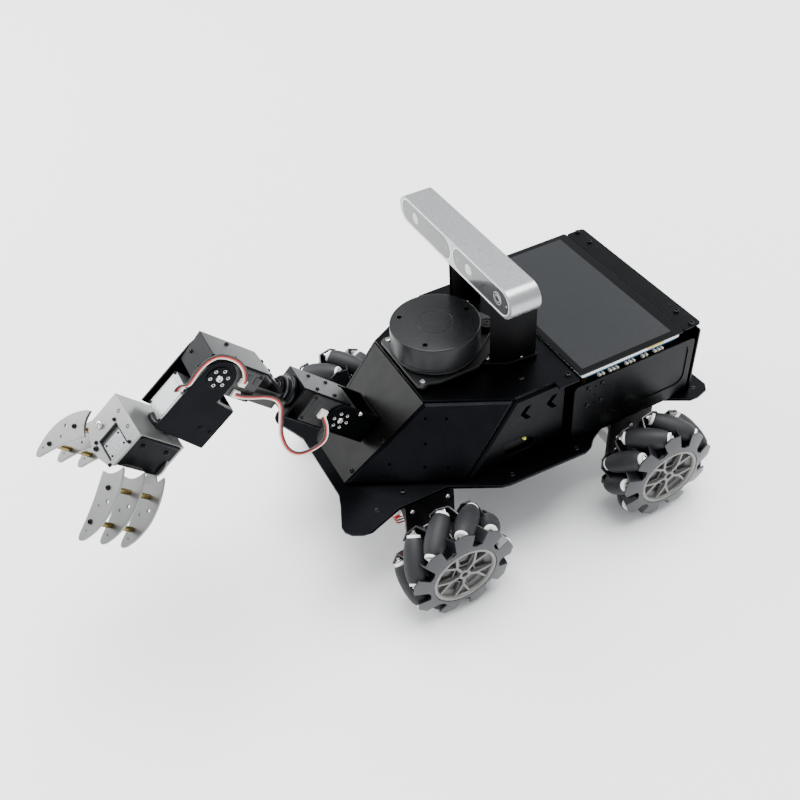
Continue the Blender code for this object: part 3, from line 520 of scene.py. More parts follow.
def build_flank_lamps():
    for side, label in NEAR_AND_FAR:
        bm = bmesh.new()
        # A near-black plate behind the flank window: painted shade for the inside seen through the opening.
        back = rounded([(44, 131), (19, 131), (9, 121), (14, 113), (40, 113)], 3)
        side_prism(bm, back, side, 68.0, 70.5)
        at = aim((20, side * 70.5, 123), (0, side, 0))
        turned(bm, dome(2.4, 0, 1.4, 0.5), 20, at, 1)
        turned(bm, dome(1.6, 1, 4.9, 1.5), 20, at, 2)
        chassis_piece("switch_recess_" + label, bm, [painted_hole_shade, screw_black, lamp_yellow])


def build_body_screws():
    """The sheets' screws, in one piece per finish."""
    black, silver = bmesh.new(), bmesh.new()
    for side in (1, -1):
        for x, y in ((124, 60), (94, 61)):
            screw(black, (x, side * y, PLATE_TOP), UP, 2.5)
        for x, y in ((150, 66), (-146, 84), (40, 88), (-20, 91)):
            flush_ring(black, (x, side * y, PLATE_TOP), UP, 1.9)
        for x, y in ((15.6, 59.9), (-17.6, 75)):
            screw(black, (x, side * y, DECK_TOP), UP, 2.6)
        for y in (59.5, 78):
            screw(black, (-135, side * y, STRIP_TOP), UP, 2.4)
        for x, y in ((-138, 66), (-136, 50)):
            flush_ring(black, (x, side * y, STRIP_TOP), UP, 0.9)
        for x in (-32, -45):
            for z in (159.5, 141.7):
                screw(black, (x, side * SIDE_Y, z), (0, side, 0), 2.1)
        for y, z in ((70, 160), (70, 118)):
            screw(black, (-141, side * y, z), (-1, 0, 0), 2.1)
        point, normal = outer_face("front_panel", (1, 0, 0.3))
        for y, z in ((26, 112), (33, 166)):
            screw(black, onto((150, side * y, z), point, normal), normal, 2.0)
        for x, y in ((85, 29), (12, 19.5)):
            screw(silver, (x, side * y, 180.7), UP, 2.3)
    chassis_piece("body_screws", black, screw_black)
    chassis_piece("rangefinder_screws", silver, nickel)


def build_deck_folds():
    """Narrow folded lips where the deck meets the side sheets."""
    for side, label in NEAR_AND_FAR:
        bm = bmesh.new()
        edge = smooth_line([(31.0, 75.3, 173.2), (13, 75.3, 173.2), (-4, 75.3, 173.2)], 3)
        tube(bm, [Vector((p.x, side * p.y, p.z)) for p in edge], 1.0, 12)
        slope = [Vector((91.0, side * 41.8, 173.2)), Vector((31.0, side * 75.3, 173.2))]
        tube(bm, slope, 1.0, 12)
        chassis_piece("deck_fold_" + label, bm, sheet_black)


# ---------------------------------------------------------------- display

GLASS_FRONT, GLASS_BACK, GLASS_TOP, GLASS_HALF = -24.2, -124.2, 176.6, 82.5


def build_display():
    dress("display_glass", glass_dark, 0.3, segments=3)
    dress("display_module", edge_white, 0.3)
    dress("display_board", board_blue, 0.2)
    dress("rear_strip", sheet_black, 0.4)
    screen = bmesh.new()
    prism(screen, rectangle(GLASS_BACK + 9, GLASS_FRONT - 5, -GLASS_HALF + 5.4, GLASS_HALF - 5.4, 0.6),
          GLASS_TOP - 0.3, GLASS_TOP + 0.03)
    chassis_piece("display_panel", screen, screen_grey)

    pins, gold, label = bmesh.new(), bmesh.new(), bmesh.new()
    for group, count in ((-44, 2), (-54, 3), (-70, 3), (-86, 2), (-98, 3)):
        for k in range(count):
            x = group - 3.4 * k
            prism(pins, rectangle(x - 0.75, x + 0.75, 78.5, 82.2), 164.2, 167.4)
            for z in (165.0, 166.6):
                turned(gold, [(0, 0), (0.3, 0), (0.3, 1.2), (0, 1.2)], 8, aim((x, 82.0, z), (0, 1, 0)))
    chassis_piece("display_header", pins, plug_white, 0.2)
    chassis_piece("display_header_pins", gold, brass)
    prism(label, rectangle(-106, -90, 171.2, 174.2, 0.5), -80.75, -80.45, at=XZ)
    chassis_piece("display_side_label", label, label_yellow)

    chips = bmesh.new()
    for side in (1, -1):
        for x in (-36, -112):
            turned(chips, [(0, 0), (2.6, 0), (2.6, 56.0), (0, 56.0)], 6, move(x, side * 74, 110.5))
    chassis_piece("display_standoffs", chips, brass, 0.15)


def build_inside():
    dress("battery", battery_blue, 1.2, segments=3)
    for node, z, parts in (("drive_board", 112.9, 9), ("computer_board", 129.6, 7)):
        dress(node, board_green, 0.2)
        low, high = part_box(node)
        corner = CHASSIS.inverted() @ low
        span = (high - low) / MM
        chips = bmesh.new()
        for k in range(parts):
            x = corner.x + span.x * (0.12 + 0.76 * ((k * 0.618) % 1))
            y = corner.y + span.y * (0.15 + 0.70 * ((k * 0.382 + 0.2) % 1))
            half = 3 + (k % 3) * 1.6
            prism(chips, rectangle(x - half, x + half, y - half * 0.8, y + half * 0.8, 0.4), z, z + 1.8)
        chassis_piece(node + "_chips", chips, servo_black, 0.15)


# ---------------------------------------------------------------- wheels

ROLLERS = 9
PITCH = 360 / ROLLERS
ROLLER_AXIS = 39.2
WHEEL_SCALE = 0.9738
WHEELS = (("front_left", 1, 1), ("front_right", 1, -1), ("rear_left", -1, 1), ("rear_right", -1, -1))


def petal_plate(bm, first, side, slant, outer):
    """Hub plate: a ring with one folded petal per roller end; outer is +1 outside, -1 inside."""
    face, fold = 18.6 * outer, 9.0 * outer
    lean = slant * outer
    ring_in, ring_out = 28.9, 33.5

    def spot(radius, degrees, z):
        turn = radians(first + degrees * lean)
        return bm.verts.new((radius * cos(turn), radius * sin(turn), z))

    for k in range(ROLLERS):
        mid = k * PITCH * lean
        inner = [spot(ring_in, mid + a, face + 0.9 * outer) for a in (-20, -10, 0, 10, 20)]
        rim = [spot(ring_out - (1.6 if a in (-20, 20) else 0), mid + a, face + 0.6 * outer)
               for a in (-20, -12, 0, 12, 20)]
        for n in range(4):
            bm.faces.new([inner[n], inner[n + 1], rim[n + 1], rim[n]])
        tip = [spot(43.6, mid - 14.0, face - 1.2 * outer), spot(46.4, mid - 5.0, face - 1.6 * outer),
               spot(44.6, mid + 8.5, face - 2.2 * outer)]
        bm.faces.new([rim[1], rim[2], tip[1], tip[0]])
        bm.faces.new([rim[2], rim[3], tip[2], tip[1]])
        tab = [spot(34.0, mid + 17.5, fold), spot(42.8, mid + 14.0, fold - 1.5 * outer)]
        bm.faces.new([rim[3], tab[0], tab[1], tip[2]])
    bmesh.ops.remove_doubles(bm, verts=bm.verts, dist=0.01)


def roller_place(first, k, slant):
    angle = radians(first + k * PITCH)
    outwards = Vector((cos(angle), sin(angle), 0))
    along = Vector((-sin(angle) * slant, cos(angle) * slant, 1)).normalized()
    turn = Matrix((outwards, along.cross(outwards), along)).transposed().to_4x4()
    return Matrix.Translation(outwards * ROLLER_AXIS) @ turn


def build_wheel(label, front, side):
    body = "wheel_" + label
    space = local(joint("wheel_spin_" + label)["pos_m"], (1, 0, 0), (0, side, 0))
    space = space @ Matrix.Scale(WHEEL_SCALE, 4)
    slant, first = front * side, side * 90

    rollers, bushes, pins = bmesh.new(), bmesh.new(), bmesh.new()
    stations = [-17.6 + 35.2 * k / 16 for k in range(17)]
    barrel = [(9.25 - 2.75 * abs(s / 17.6) ** 2.3, s) for s in stations]
    barrel[0], barrel[-1] = (barrel[0][0] - 0.5, barrel[0][1]), (barrel[-1][0] - 0.5, barrel[-1][1])
    for k in range(ROLLERS):
        at = roller_place(first, k, slant)
        turned(rollers, [(0, stations[0]), *barrel, (0, stations[-1])], 36, at)
        for end in (1, -1):
            profile = [(1.6, 17.0), (5.3, 17.0), (5.6, 17.4), (5.6, 19.2), (5.2, 19.7), (4.1, 19.8),
                       (3.8, 19.2), (1.6, 19.2)]
            turned(bushes, [(r, end * s) for r, s in profile], 32, at)
            turned(pins, [(0, end * 18.8), (2.9, end * 18.8), (3.1, end * 19.1), (3.1, end * 21.2),
                          (2.8, end * 21.5), (1.5, end * 21.5), (1.5, end * 23.4), (1.2, end * 23.7),
                          (0, end * 23.7)], SCREW_SIDES, at, sweep=knurled)
    name = "rollers_" + label
    piece(name + "_rubber", rollers, space, body, rubber, replaces=["rollers_" + label],
          angle=50)
    piece(name + "_bushes", bushes, space, body, bush_white)
    piece(name + "_pins", pins, space, body, nickel)

    spool = bmesh.new()
    turned(spool, [(5.5, -19.4), (31.0, -19.4), (31.0, -17.4), (24.0, -16.6), (22.0, -12.0), (22.0, 8.0),
                   (24.5, 13.0), (24.5, 15.0), (5.5, 15.0)], 48)
    for k in range(ROLLERS):
        turn = radians(first + (k + 0.5) * PITCH)
        rib = Matrix.Rotation(turn, 4, "Z") @ move(21.5)
        prism(spool, [(0, -15), (9.5, -15), (6, -9), (4, 0), (6, 9), (9.5, 14), (0, 14)], -0.8, 0.8,
              at=rib @ XZ)
    piece("wheel_core_" + label, spool, space, body, hub_grey, 0.3)

    for outer, word in ((1, "outer"), (-1, "inner")):
        plate = bmesh.new()
        petal_plate(plate, first + PITCH / 2, side, slant, outer)
        made = piece("hub_plate_" + word + "_" + label, plate, space, body, hub_grey,
                     replaces=["hub_plate_" + label] if outer > 0 else ())
        thick = made.modifiers.new("sheet", "SOLIDIFY")
        thick.thickness = 1.5 * MM
        thick.offset = 0
        soften(made, 0.35, angle=25)

    build_cap(label, space, body)


def build_cap(label, space, body):
    """Spoked centre cap: ring, boss and five forked spokes over a dished back."""
    cap, dish = bmesh.new(), bmesh.new()
    turned(cap, [(25.0, 16.6), (28.8, 16.6), (28.8, 19.4), (28.3, 20.2), (27.4, 20.5), (26.2, 20.4),
                 (25.4, 19.6), (25.0, 18.4)], 64)
    turned(cap, [(2.7, 13.0), (5.2, 13.0), (5.2, 18.9), (4.8, 19.5), (3.2, 19.5), (2.7, 19.0)], 32)
    for k in range(5):
        turn = Matrix.Rotation(radians(k * 72 + 12), 4, "Z")
        stem = [(4.4, -1.25), (12.5, -1.1), (25.6, -8.6), (26.4, -6.6), (14.8, 0), (26.4, 6.6),
                (25.6, 8.6), (12.5, 1.1), (4.4, 1.25)]
        prism(cap, stem, 15.2, 18.9, at=turn)
    turned(dish, [(28.6, 15.4), (28.6, 17.0), (25.6, 17.0), (16.0, 13.4), (9.0, 12.2), (9.0, 11.2),
                  (16.2, 12.2)], 64)
    for k in range(5):
        turn = Matrix.Rotation(radians(k * 72 + 48), 4, "Z")
        wall = [(9.0, -4.6), (22.5, -9.4), (23.4, -8.4), (10.4, -3.4), (10.4, 3.4), (23.4, 8.4),
                (22.5, 9.4), (9.0, 4.6)]
        prism(dish, wall, 11.6, 16.9, at=turn)
    piece("centre_cap_" + label + "_ring", cap, space, body, cap_grey, 0.35, 3,
          replaces=["centre_cap_" + label])
    # The dished back takes the darker grey: painted shade.
    piece("centre_cap_" + label + "_dish", dish, space, body, cap_painted_shade, 0.3)
    bolt = bmesh.new()
    screw(bolt, (0, 0, 13.6), UP, 2.6, 2.4)
    # A near-black disc in the cap's centre opening: painted shade.
    turned(bolt, [(0, 11.0), (9.4, 11.0), (9.4, 11.5), (0, 11.5)], 32, look=1)
    piece("axle_screw_" + label, bolt, space, body, [screw_black, painted_hole_shade])


BRACKET_FACE = 73.5


def build_motor(label, front, side):
    dress("motor_" + label, motor_can, 0.3)
    dress("motor_bracket_" + label, bracket_black, 0.5)
    axle = CHASSIS.inverted() @ Vector(joint("wheel_spin_" + label)["pos_m"])
    x = axle.x
    screws, plug, gusset = bmesh.new(), bmesh.new(), bmesh.new()
    for turn in range(6):
        angle = radians(30 + 60 * turn)
        place = (x + 15.5 * cos(angle), side * BRACKET_FACE, axle.z + 15.5 * sin(angle))
        screw(screws, place, (0, side, 0), 1.6)
    for dx in (-16, 16):
        screw(screws, (x + dx, side * BRACKET_FACE, 95), (0, side, 0), 1.8)
    chassis_piece("motor_screws_" + label, screws, nickel)
    shape = [(side * y, z) for y, z in ((72.0, 98.6), (54.0, 98.6), (72.0, 80.0))]
    for dx in (-21.4, 20.0):
        prism(gusset, shape, x + dx, x + dx + 1.4, at=YZ)
    chassis_piece("motor_gusset_" + label, gusset, bracket_black, 0.2)

    front_x = x + front * 25.5
    prism(plug, rectangle(front_x - 3.2, front_x + 3.2, side * 60 - 6, side * 60 + 6), 88.5, 99.0)
    prism(plug, rectangle(front_x - 2.4, front_x + 2.4, side * 60 - 5, side * 60 + 5), 84.0, 88.5, look=1)
    for k, look in enumerate((1, 2, 1)):
        y = side * 60 + (k - 1) * 3.0
        route = smooth_line([(front_x, y, 85), (front_x, y, 76), (front_x - front * 8, y * 0.93, 68),
                             (front_x - front * 16, y * 0.8, 58)], 1.5)
        tube(plug, route, 0.75, 10, look=look)
    chassis_piece("motor_plug_" + label, plug, [plug_white, wire_red, wire_black], 0.2)


# ---------------------------------------------------------------- sensors

TURRET_X, PULLEY_X = 57.0, 9.7


def build_rangefinder():
    dress("rangefinder_base", base_black, 0.35)
    dress("drive_belt", belt_black, 0.3)
    dress("rangefinder_motor", motor_can, 0.4)
    shell, holes = bmesh.new(), bmesh.new()
    lip = [(35.8 - 1.1 + 1.1 * cos(radians(a)), 206.9 + 1.1 * sin(radians(a))) for a in range(0, 91, 15)]
    turned(shell, [(0, 181.1), (32.5, 181.1), (32.5, 185.4), (33.0, 185.9), (35.2, 186.1), (35.8, 186.7),
                   (35.8, 188.2), (35.45, 188.35), (35.45, 188.65), (35.8, 188.8), *lip, (14.2, 208.0),
                   (14.05, 207.85), (13.75, 207.85), (13.6, 208.0), (0, 208.0)], 96, move(TURRET_X))
    for degrees in (46, 181, -43):
        x, y = TURRET_X + 28.8 * cos(radians(degrees)), 28.8 * sin(radians(degrees))
        prism(holes, circle(2.0, (x, y), 24), 203.5, 210)
    hollow = cutter("turret_holes", holes, CHASSIS, "turret")
    made = piece("turret_shell", shell, CHASSIS, "turret", turret_black,
                 replaces=["turret"], angle=28)
    cut_away(made, hollow)
    split = made.modifiers.new("split", "EDGE_SPLIT")
    split.split_angle = radians(28)

    wheel = bmesh.new()
    at = move(PULLEY_X)
    turned(wheel, [(0, 181.6), (6.4, 181.6), (6.4, 182.3), (5.2, 182.6), (5.2, 184.6), (6.4, 184.9),
                   (6.6, 185.2), (6.6, 186.4), (6.2, 186.8), (4.6, 186.8), (4.2, 186.2), (3.2, 186.2),
                   (2.9, 186.7), (1.5, 186.7), (1.3, 186.0), (0, 186.0)], 48, at)
    piece("drive_pulley_wheel", wheel, CHASSIS, "pulley", turret_black,
          replaces=["drive_pulley"], angle=28)


CAMERA_FRONT, CAMERA_Z = 40.3, 264.9


def pill_ring(bm, middle, half, outer, inner, low, high, look):
    prism(bm, pill(middle - half, middle + half, CAMERA_Z, outer, 16), low, high,
          [pill(middle - half + outer - inner, middle + half - outer + inner, CAMERA_Z, inner, 16)],
          YZ, look)


def build_depth_camera():
    dress("camera_arch", arch_black, 0.5, segments=3)
    dress("camera_body", camera_silver, 0.55, segments=3)
    rims, lenses = bmesh.new(), bmesh.new()
    for middle, label in ((40.0, "left"), (-40.0, "right")):
        dress("camera_window_" + label, pane_grey, 0.15)
        pill_ring(rims, middle, 39.0, 10.6, 9.75, CAMERA_FRONT - 0.9, CAMERA_FRONT + 0.05, 0)
    piece("camera_rims", rims, CHASSIS, "camera", camera_rim, 0.2)
    for y, radius, glass in ((-56.6, 4.6, 1), (24.1, 4.6, 1), (63.4, 5.0, 0)):
        at = aim((CAMERA_FRONT - 0.32, y, CAMERA_Z), (1, 0, 0))
        if glass:
            turned(lenses, dome(radius, 0, 0.2, 0.12), 40, at, 1)
            continue
        for rim in (radius, radius - 1.7):
            turned(lenses, [(rim, 0), (rim, 0.16), (rim - 0.5, 0.2), (rim - 0.5, 0)], 40, at, 1)
        turned(lenses, dome(radius - 2.4, 0, 0.2, 0.12), 24, at, 0)
    for y in (-73.6, 75.0, 8.4, -9.0):
        turned(lenses, dome(0.7, 0, 0.2, 0.1), 16, aim((CAMERA_FRONT - 0.32, y, CAMERA_Z), (1, 0, 0)), 1)
    piece("camera_lenses", lenses, CHASSIS, "camera", [lens_black, lens_milk])

    feet = bmesh.new()
    for side in (1, -1):
        foot = [(27.5, 26.0), (34.5, 33.5), (17, 43.5), (-9.5, 46.0), (-9.5, 39.5), (6.0, 38.0)]
        outline = rounded(foot, 3)
        prism(feet, [(x, side * y) for x, y in outline], DECK_TOP + 0.2, DECK_TOP + 4.4)
        for x, y in ((21.5, 33.2), (-4.5, 42.0)):
            rib = [(x - 1, side * (y - 7)), (x + 1, side * (y - 7)), (x + 1, side * y), (x - 1, side * y)]
            prism(feet, rib, DECK_TOP + 4.3, DECK_TOP + 22)
    chassis_piece("camera_arch_feet", feet, arch_black, 0.5, 3)
    screws = bmesh.new()
    for side in (1, -1):
        for x, y in ((4, 41.6), (27.6, 30.2)):
            screw(screws, (x, side * y, DECK_TOP + 4.4), UP, 1.7)
        screw(screws, (18.2, side * 10.0, 250.0), (0, side, 0), 2.2)
    chassis_piece("camera_screws", screws, nickel)


# ---------------------------------------------------------------- arm

def horn_detail(name, space, body, centre, back):
    """Raised output discs on both ears of a bracket: pressed rings around a bright screw."""
    black, bright = bmesh.new(), bmesh.new()
    for side in (1, -1):
        axis = (0, side, 0)
        turned(black, [(0, -0.3), (9.2, -0.3), (9.2, 0.35), (8.8, 0.7), (0, 0.7)], 48,
               aim((centre, side * 17, 0), axis))
        for k in range(6):
            turn = radians(back + 60 * k)
            place = (centre + 6.4 * cos(turn), side * 17.7, 6.4 * sin(turn))
            flush_ring(bright, place, axis, 1.3, 0)
        screw(bright, (centre, side * 17.7, 0), axis, 2.7, 1.5)
    piece(name + "_discs", black, space, body, [bracket_black, screw_black])
    piece(name + "_screws", bright, space, body, nickel)


def servo_lid(bm, x0, x1, z0, z1, y, side):
    """Outer lid of a servo on a face across Y, with its four corner screws."""
    side_prism(bm, rectangle(x0 + 0.7, x1 - 0.7, z0 + 0.7, z1 - 0.7, 1.6), side, y - 0.4, y + 0.35)
    inset = 2.6
    for x in (x0 + inset, x1 - inset):
        for z in (z0 + inset, z1 - inset):
            screw(bm, (x, side * (y + 0.35), z), (0, side, 0), 1.35, look=1)


def build_arm():
    for node in ("arm_mount", "shoulder_bracket", "elbow_bracket", "forearm_link"):
        dress(node, bracket_black, 0.45, segments=3)
    for node in ("shoulder_servo", "roll_servo", "elbow_servo"):
        dress(node, servo_black, 0.5, segments=3)
    dress("wrist_servo", servo_silver, 0.5, segments=3)
    horn_detail("shoulder_horn", LINK, "chassis", 0, 0)
    horn_detail("elbow_horn", FOREARM, "forearm", 0, 0)

    lids = bmesh.new()
    for side in (1, -1):
        servo_lid(lids, -11.2, 34.0, -12.35, 12.35, 14.5, side)
        side_prism(lids, rectangle(24.2, 31.4, -7.8, 7.8, 0.8), side, 14.8, 15.15, 2)
    plug = rectangle(14.6, 20.6, -4.2, 3.2, 0.4)
    prism(lids, plug, -17.4, -14.6, at=XZ, look=3)
    prism(lids, rectangle(15.4, 19.6, -3.2, 1.6, 0.3), -18.6, -17.3, at=XZ, look=3)
    piece("shoulder_servo_lids", lids, LINK, "shoulder", [servo_black, screw_black, base_black, plug_white],
          0.2)

    lids = bmesh.new()
    for side in (1, -1):
        servo_lid(lids, 82.0, 127.2, -12.35, 12.35, 14.5, side)
    prism(lids, rectangle(93.2, 98.6, -11.4, -5.2, 0.4), -17.2, -14.6, at=XZ, look=2)
    prism(lids, rectangle(93.6, 98.8, -1.0, 4.6, 0.4), -17.2, -14.6, at=XZ, look=2)
    for z in (-6.0, 6.0):
        for x in (84.5, 91.0):
            prism(lids, rectangle(x, x + 3.6, z - 3.4, z + 3.4, 0.5), -15.2, -14.7, at=XZ, look=3)
    piece("elbow_servo_lids", lids, LINK, "upper_arm", [servo_black, screw_black, plug_white, base_black],
          0.2)

    neck, tie = bmesh.new(), bmesh.new()
    along = Matrix.Rotation(pi / 2, 4, "Y")
    turned(neck, [(6.4, 50.2), (8.6, 50.2), (9.0, 50.6), (9.0, 53.4), (8.6, 53.8), (6.4, 53.8)], 48, along)
    turned(neck, [(6.4, 54.2), (7.6, 54.2), (7.6, 57.2), (6.4, 57.2)], 48, along)
    turned(neck, [(11.4, 46.6), (12.3, 46.6), (12.6, 46.9), (12.6, 49.4), (12.3, 49.7), (11.4, 49.7)], 48,
           along)
    piece("roll_neck", neck, LINK, "upper_arm", [screw_black])
    turned(tie, [(9.0, 52.6), (10.0, 52.6), (10.2, 52.9), (10.2, 53.9), (10.0, 54.2), (9.0, 54.2)], 40,
           along)
    prism(tie, rectangle(51.6, 55.0, -6.0, -2.6, 0.4), -13.4, -8.0, at=XZ)
    piece("cable_tie", tie, LINK, "upper_arm", wire_black, 0.15)

    bolts = bmesh.new()
    for side in (1, -1):
        screw(bolts, (-13.7, side * 17, 15.5 - 4.8), (0, side, 0), 1.9)
    for x, y in ((-22, 9), (-22, -9)):
        screw(bolts, (-31.5, y, -x - 22), (1, 0, 0), 1.9)
    piece("arm_mount_screws", bolts, LINK, "chassis", nickel)

    bolts = bmesh.new()
    for y in (-8.5, 8.5):
        for x in (12, 30):
            screw(bolts, (x, y, 14.2), UP, 1.6)
            screw(bolts, (x, y, -14.2), (0, 0, -1), 1.6)
    piece("shoulder_bracket_screws", bolts, LINK, "shoulder", screw_black)

    bolts = bmesh.new()
    for x, z in ((64, 6.8), (74, 11.6)):
        for y in (-9, 9):
            screw(bolts, (x, y, z), (-0.44, 0, 0.90), 1.4)
    for y in (-9, 9):
        screw(bolts, (129.3, y, 0), (1, 0, 0), 1.6)
        screw(bolts, (108, y, 14.4), UP, 1.6)
    piece("elbow_bracket_screws", bolts, LINK, "upper_arm", screw_black)

    bolts = bmesh.new()
    for x, y in ((22, 10.6), (22, -10.6), (50, 10.6), (50, -10.6)):
        screw(bolts, (x, y, 9.9), UP, 1.3)
    prism(bolts, rectangle(24.4, 47.6, -9.6, 9.6, 1.0), 9.8, 10.25, look=1)
    piece("wrist_servo_label", bolts, FOREARM, "forearm", [screw_black, label_silver], 0.08)

    lips = bmesh.new()
    for side in (1, -1):
        side_prism(lips, rectangle(17.6, 19.0, -30.0, -13.4), side, 11.6, 15.0)
        for z in (-26, -17):
            screw(lips, (40, side * 17, z), (0, side, 0), 1.5, look=1)
    prism(lips, rectangle(17.6, 54.0, -16.4, 16.4, 0.8), -30.0, -29.1, look=0)
    piece("forearm_lips", lips, FOREARM, "forearm", [bracket_black, screw_black], 0.2)


LEAD_SHOULDER = [(17.7, 15.7, -0.3), (17.0, 18.6, -1.8), (10.5, 21.0, -8.0), (6.3, 23.0, -18.0),
                 (13.5, 25.0, -28.5), (23.5, 26.0, -34.0), (34.4, 25.0, -32.4), (44.5, 22.5, -24.5),
                 (51.0, 20.0, -14.2), (56.0, 17.2, -5.5), (62.0, 15.2, -2.2), (71.0, 15.0, -2.8),
                 (82.0, 16.8, -5.5), (90.0, 17.6, -7.4), (95.5, 17.4, -8.0), (97.0, 15.8, -8.1)]
LEAD_ELBOW = [(96.5, 15.7, 2.0), (96.8, 18.0, 3.2), (99.5, 19.4, 8.0), (104.5, 19.5, 13.5),
              (112.0, 19.5, 17.3), (121.0, 19.6, 18.0), (128.9, 19.6, 15.4), (133.2, 19.4, 8.5),
              (134.4, 18.9, 0.0), (134.2, 18.5, -7.0), (133.7, 17.0, -12.5), (133.6, 12.0, -17.0),
              (133.0, 9.0, -21.5), (131.6, 7.4, -24.8)]


def build_lead(node, points, flip=1):
    """A flat three-wire servo lead along a curved route between the bodies at its ends, baked in place and
    attached to no body.
    """
    route = smooth_line(points, 0.9)
    bm = bmesh.new()
    offsets = []
    for k, point in enumerate(route):
        along = route[min(k + 1, len(route) - 1)] - route[max(k - 1, 0)]
        offsets.append(along.cross(Vector((0, 1, 0))).normalized() * flip)
    for look, step in ((1, 1.25), (0, 0.0), (2, -1.25)):
        tube(bm, route, 0.64, 12, look=look, shift=lambda k, step=step: offsets[k] * step)
    made = piece(node + "_wires", bm, LINK, None, [wire_red, wire_white, wire_black], angle=60)
    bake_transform(made)
    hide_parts(node)


def build_leads():
    build_lead("lead_shoulder", LEAD_SHOULDER, -1)
    build_lead("lead_elbow", LEAD_ELBOW, -1)


# ---------------------------------------------------------------- gripper

LID_TOP = 30.0
JAW_LEVELS, JAW_SHEET = (-9.8, 9.1, 28.0), 2.0
JAW_PIVOT = (80.0, 12.4)


def build_gripper():
    dress("gripper_frame", claw_grey, 0.4, segments=3)
    dress("gripper_servo", servo_black, 0.4)
    case, bolts = bmesh.new(), bmesh.new()
    for side in (1, -1):
        wall = [(59.4, -9.9), (86.2, -9.9), (86.2, 2.0), (83.5, 7.0), (83.5, 21.0), (86.2, 27.9),
                (59.4, 27.9)]
        side_prism(case, wall, side, 20.0, 21.4)
        for d, z in ((66, 20), (66, -2)):
            screw(bolts, (d, side * 21.4, z), (0, side, 0), 1.7, look=1)
        prism(case, rectangle(58.4, 60.6, side * 21.5 - 1.3, side * 21.5 + 1.3, 0.6), -9.0, 27.0)
    piece("gripper_case", case, GRIPPER, "gripper", bracket_black, 0.3)

    band = bmesh.new()
    prism(band, rectangle(69.5, 86.5, -4.6, 17.3, 0.5), 27.2, 27.95)
    prism(band, rectangle(69.9, 86.1, 2.6, 16.4, 0.6), 27.9, 29.3, look=1)
    for d, v in ((71.6, 4.4), (71.6, 14.6), (84.4, 14.6), (84.4, 4.4)):
        screw(band, (d, v, 29.3), UP, 0.9, 0.5, look=2)
    piece("gripper_servo_top", band, GRIPPER, "gripper", [servo_black, label_silver, screw_black], 0.08)

    for d, v in ((68.6, -5.7), (67.3, 18.6), (88.9, 19.1), (89.7, -4.3)):
        screw(bolts, (d, v, LID_TOP), UP, 1.5, look=1)
    screw(bolts, (92.0, -0.5, LID_TOP), UP, 2.1, look=1)
    screw(bolts, (JAW_PIVOT[0], -JAW_PIVOT[1], LID_TOP), UP, 3.0, look=0)
    for v in (8.0, -8.0):
        flush_ring(bolts, (62.5, v, LID_TOP), UP, 1.5, 1)
    piece("gripper_screws", bolts, GRIPPER, "gripper", [nickel, screw_black])
    flange = bmesh.new()
    turned(flange, [(0, 55.0), (9.4, 55.0), (9.9, 55.4), (9.9, 57.5), (0, 57.5)], 48,
           Matrix.Rotation(pi / 2, 4, "Y"))
    piece("wrist_flange", flange, GRIPPER, "gripper", screw_black)


def claw_outline(side):
    root = arc(JAW_PIVOT, 16.5, 86, 17, 14)
    inner = [(103, 21.8), (110, 26.2), (117, 30.2), (126, 34.6), (135.5, 38.6)]
    outer = [(134, 45.2), (126, 47.2), (117, 47.8), (107, 46.4), (97, 42.4), (89, 37.2), (83, 31.8)]
    inner = [(p.x, p.y) for p in smooth_line([(x, y, 0) for x, y in inner], 1.5)]
    outer = [(p.x, p.y) for p in smooth_line([(x, y, 0) for x, y in outer], 1.5)]
    tip = [(137.3, 40.1), (137.7, 41.6), (137.1, 43.2)]
    return [(x, side * y) for x, y in [*root, *inner, *tip, *outer]]


def build_jaws():
    for side, label in NEAR_AND_FAR:
        body = "jaw_" + label
        plates, posts = bmesh.new(), bmesh.new()
        for level in JAW_LEVELS:
            holes = [circle(0.9, (112, side * 35), 16), circle(1.4, (104.5, side * 38.5), 16),
                     circle(0.7, (129.5, side * 41.5), 16)]
            prism(plates, claw_outline(side), level, level + JAW_SHEET, holes)
        hub = circle(12.0, (JAW_PIVOT[0], side * JAW_PIVOT[1]), 48)
        prism(plates, hub, JAW_LEVELS[0], JAW_LEVELS[0] + JAW_SHEET,
              [circle(2.6, (JAW_PIVOT[0], side * JAW_PIVOT[1]), 24)])
        link = [(JAW_PIVOT[0] + x, side * (JAW_PIVOT[1] + y))
                for x, y in rounded([(4, 6), (9, 2), (24, 6), (34, 20), (22, 26), (10, 20)], 4)]
        prism(plates, link, JAW_LEVELS[0] + 0.3, JAW_LEVELS[0] + JAW_SHEET - 0.3)
        for x, y in ((98.4, 31.2), (123.0, 39.0)):
            spot = (x, side * y, 0)
            for k in (0, 1):
                low, high = JAW_LEVELS[k] + JAW_SHEET, JAW_LEVELS[k + 1]
                turned(posts, [(0, low), (1.8, low), (2.0, low + 0.3), (2.0, high - 0.3), (1.8, high),
                               (0, high)], 24, Matrix.Translation(spot))
            screw(posts, (x, side * y, JAW_LEVELS[2] + JAW_SHEET), UP, 1.9, look=1)
            screw(posts, (x, side * y, JAW_LEVELS[0]), (0, 0, -1), 1.9, look=1)
        piece(body + "_claws", plates, GRIPPER, body, claw_grey, 0.35, 2,
              replaces=[body])
        piece(body + "_standoffs", posts, GRIPPER, body, [brass, screw_black])


# ---------------------------------------------------------------- stage

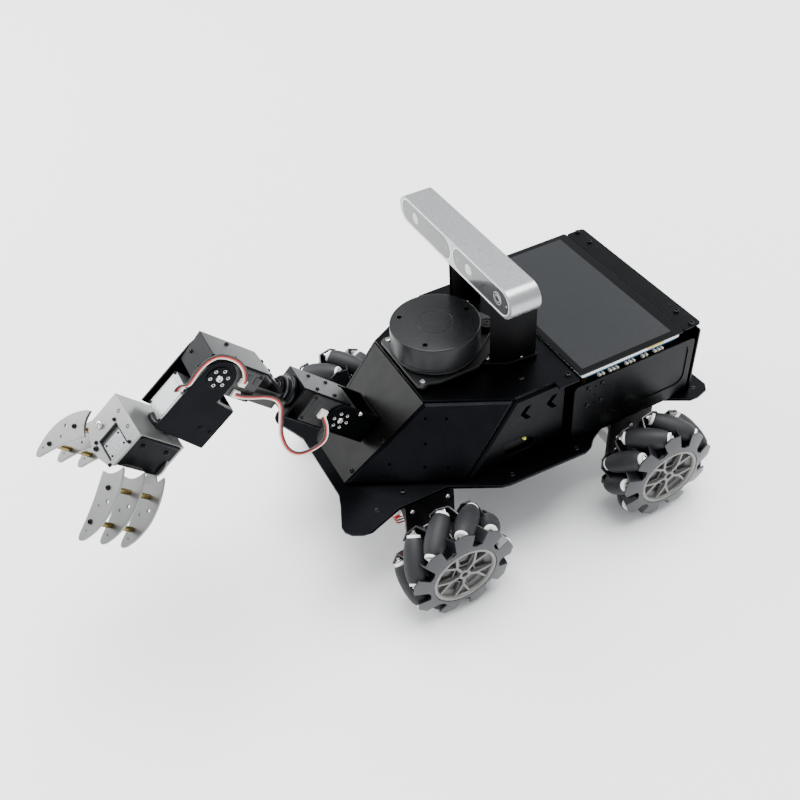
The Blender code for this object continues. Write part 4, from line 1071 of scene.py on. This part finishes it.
def build_stage():
    floor_look = surface("floor", (0.87, 0.875, 0.88), 0.75, grain=6, depth=0.000001, tint=0.004, wear=0.03)
    bm = bmesh.new()
    size = 6000
    bm.faces.new([bm.verts.new((x, y, 0)) for x, y in ((-size, -size), (size, -size), (size, size),
                                                       (-size, size))])
    floor = solid("floor", bm, Matrix.Translation((0, 0, -0.0003)) @ Matrix.Scale(MM, 4))
    floor.data.materials.append(floor_look)

    world = bpy.data.worlds.new("studio")
    bpy.context.scene.world = world
    world.use_nodes = True
    world.node_tree.nodes["Background"].inputs["Color"].default_value = (0.96, 0.98, 1.0, 1.0)
    world.node_tree.nodes["Background"].inputs["Strength"].default_value = 1.1

    target = CHASSIS @ Vector((20, 0, 100))
    for name, place, size, power in (("key", (1.3, -1.5, 1.1), (1.2, 1.2), 42.0),
                                     ("back", (-2.0, -0.7, 0.9), (1.4, 1.0), 12.0)):
        data = bpy.data.lights.new(name, "AREA")
        data.shape = "RECTANGLE"
        data.size, data.size_y = size
        data.energy = power
        light = add_object(name, data)
        light.location = place
        light.rotation_euler = (Vector(target) - Vector(place)).to_track_quat("-Z", "Y").to_euler()
    data = bpy.data.lights.new("overhead", "SUN")
    data.energy = 7.0
    data.angle = radians(50)
    add_object("overhead", data).rotation_euler = (radians(8), radians(-8), 0)

    data = bpy.data.cameras.new("view")
    data.lens, data.sensor_width = 41.62, 36.0
    data.clip_start, data.clip_end = 0.01, 50.0
    camera = add_object("view", data)
    right, up = Vector((-0.88444, 0.46211, -0.06499)), Vector((-0.36193, -0.59136, 0.72063))
    back = Vector((0.29457, 0.66087, 0.69027))
    camera.matrix_world = (Matrix.Translation((0.31492 + ORIGIN_X, 0.49899, 0.66228 + ORIGIN_Z))
                           @ Matrix((right, up, back)).transposed().to_4x4())
    bpy.context.scene.camera = camera


build_sheets()
build_flank_lamps()
build_body_screws()
build_deck_folds()
build_display()
build_inside()
for wheel, wheel_front, wheel_side in WHEELS:
    build_wheel(wheel, wheel_front, wheel_side)
    build_motor(wheel, wheel_front, wheel_side)
build_rangefinder()
build_depth_camera()
build_arm()
build_leads()
build_gripper()
build_jaws()
build_stage()
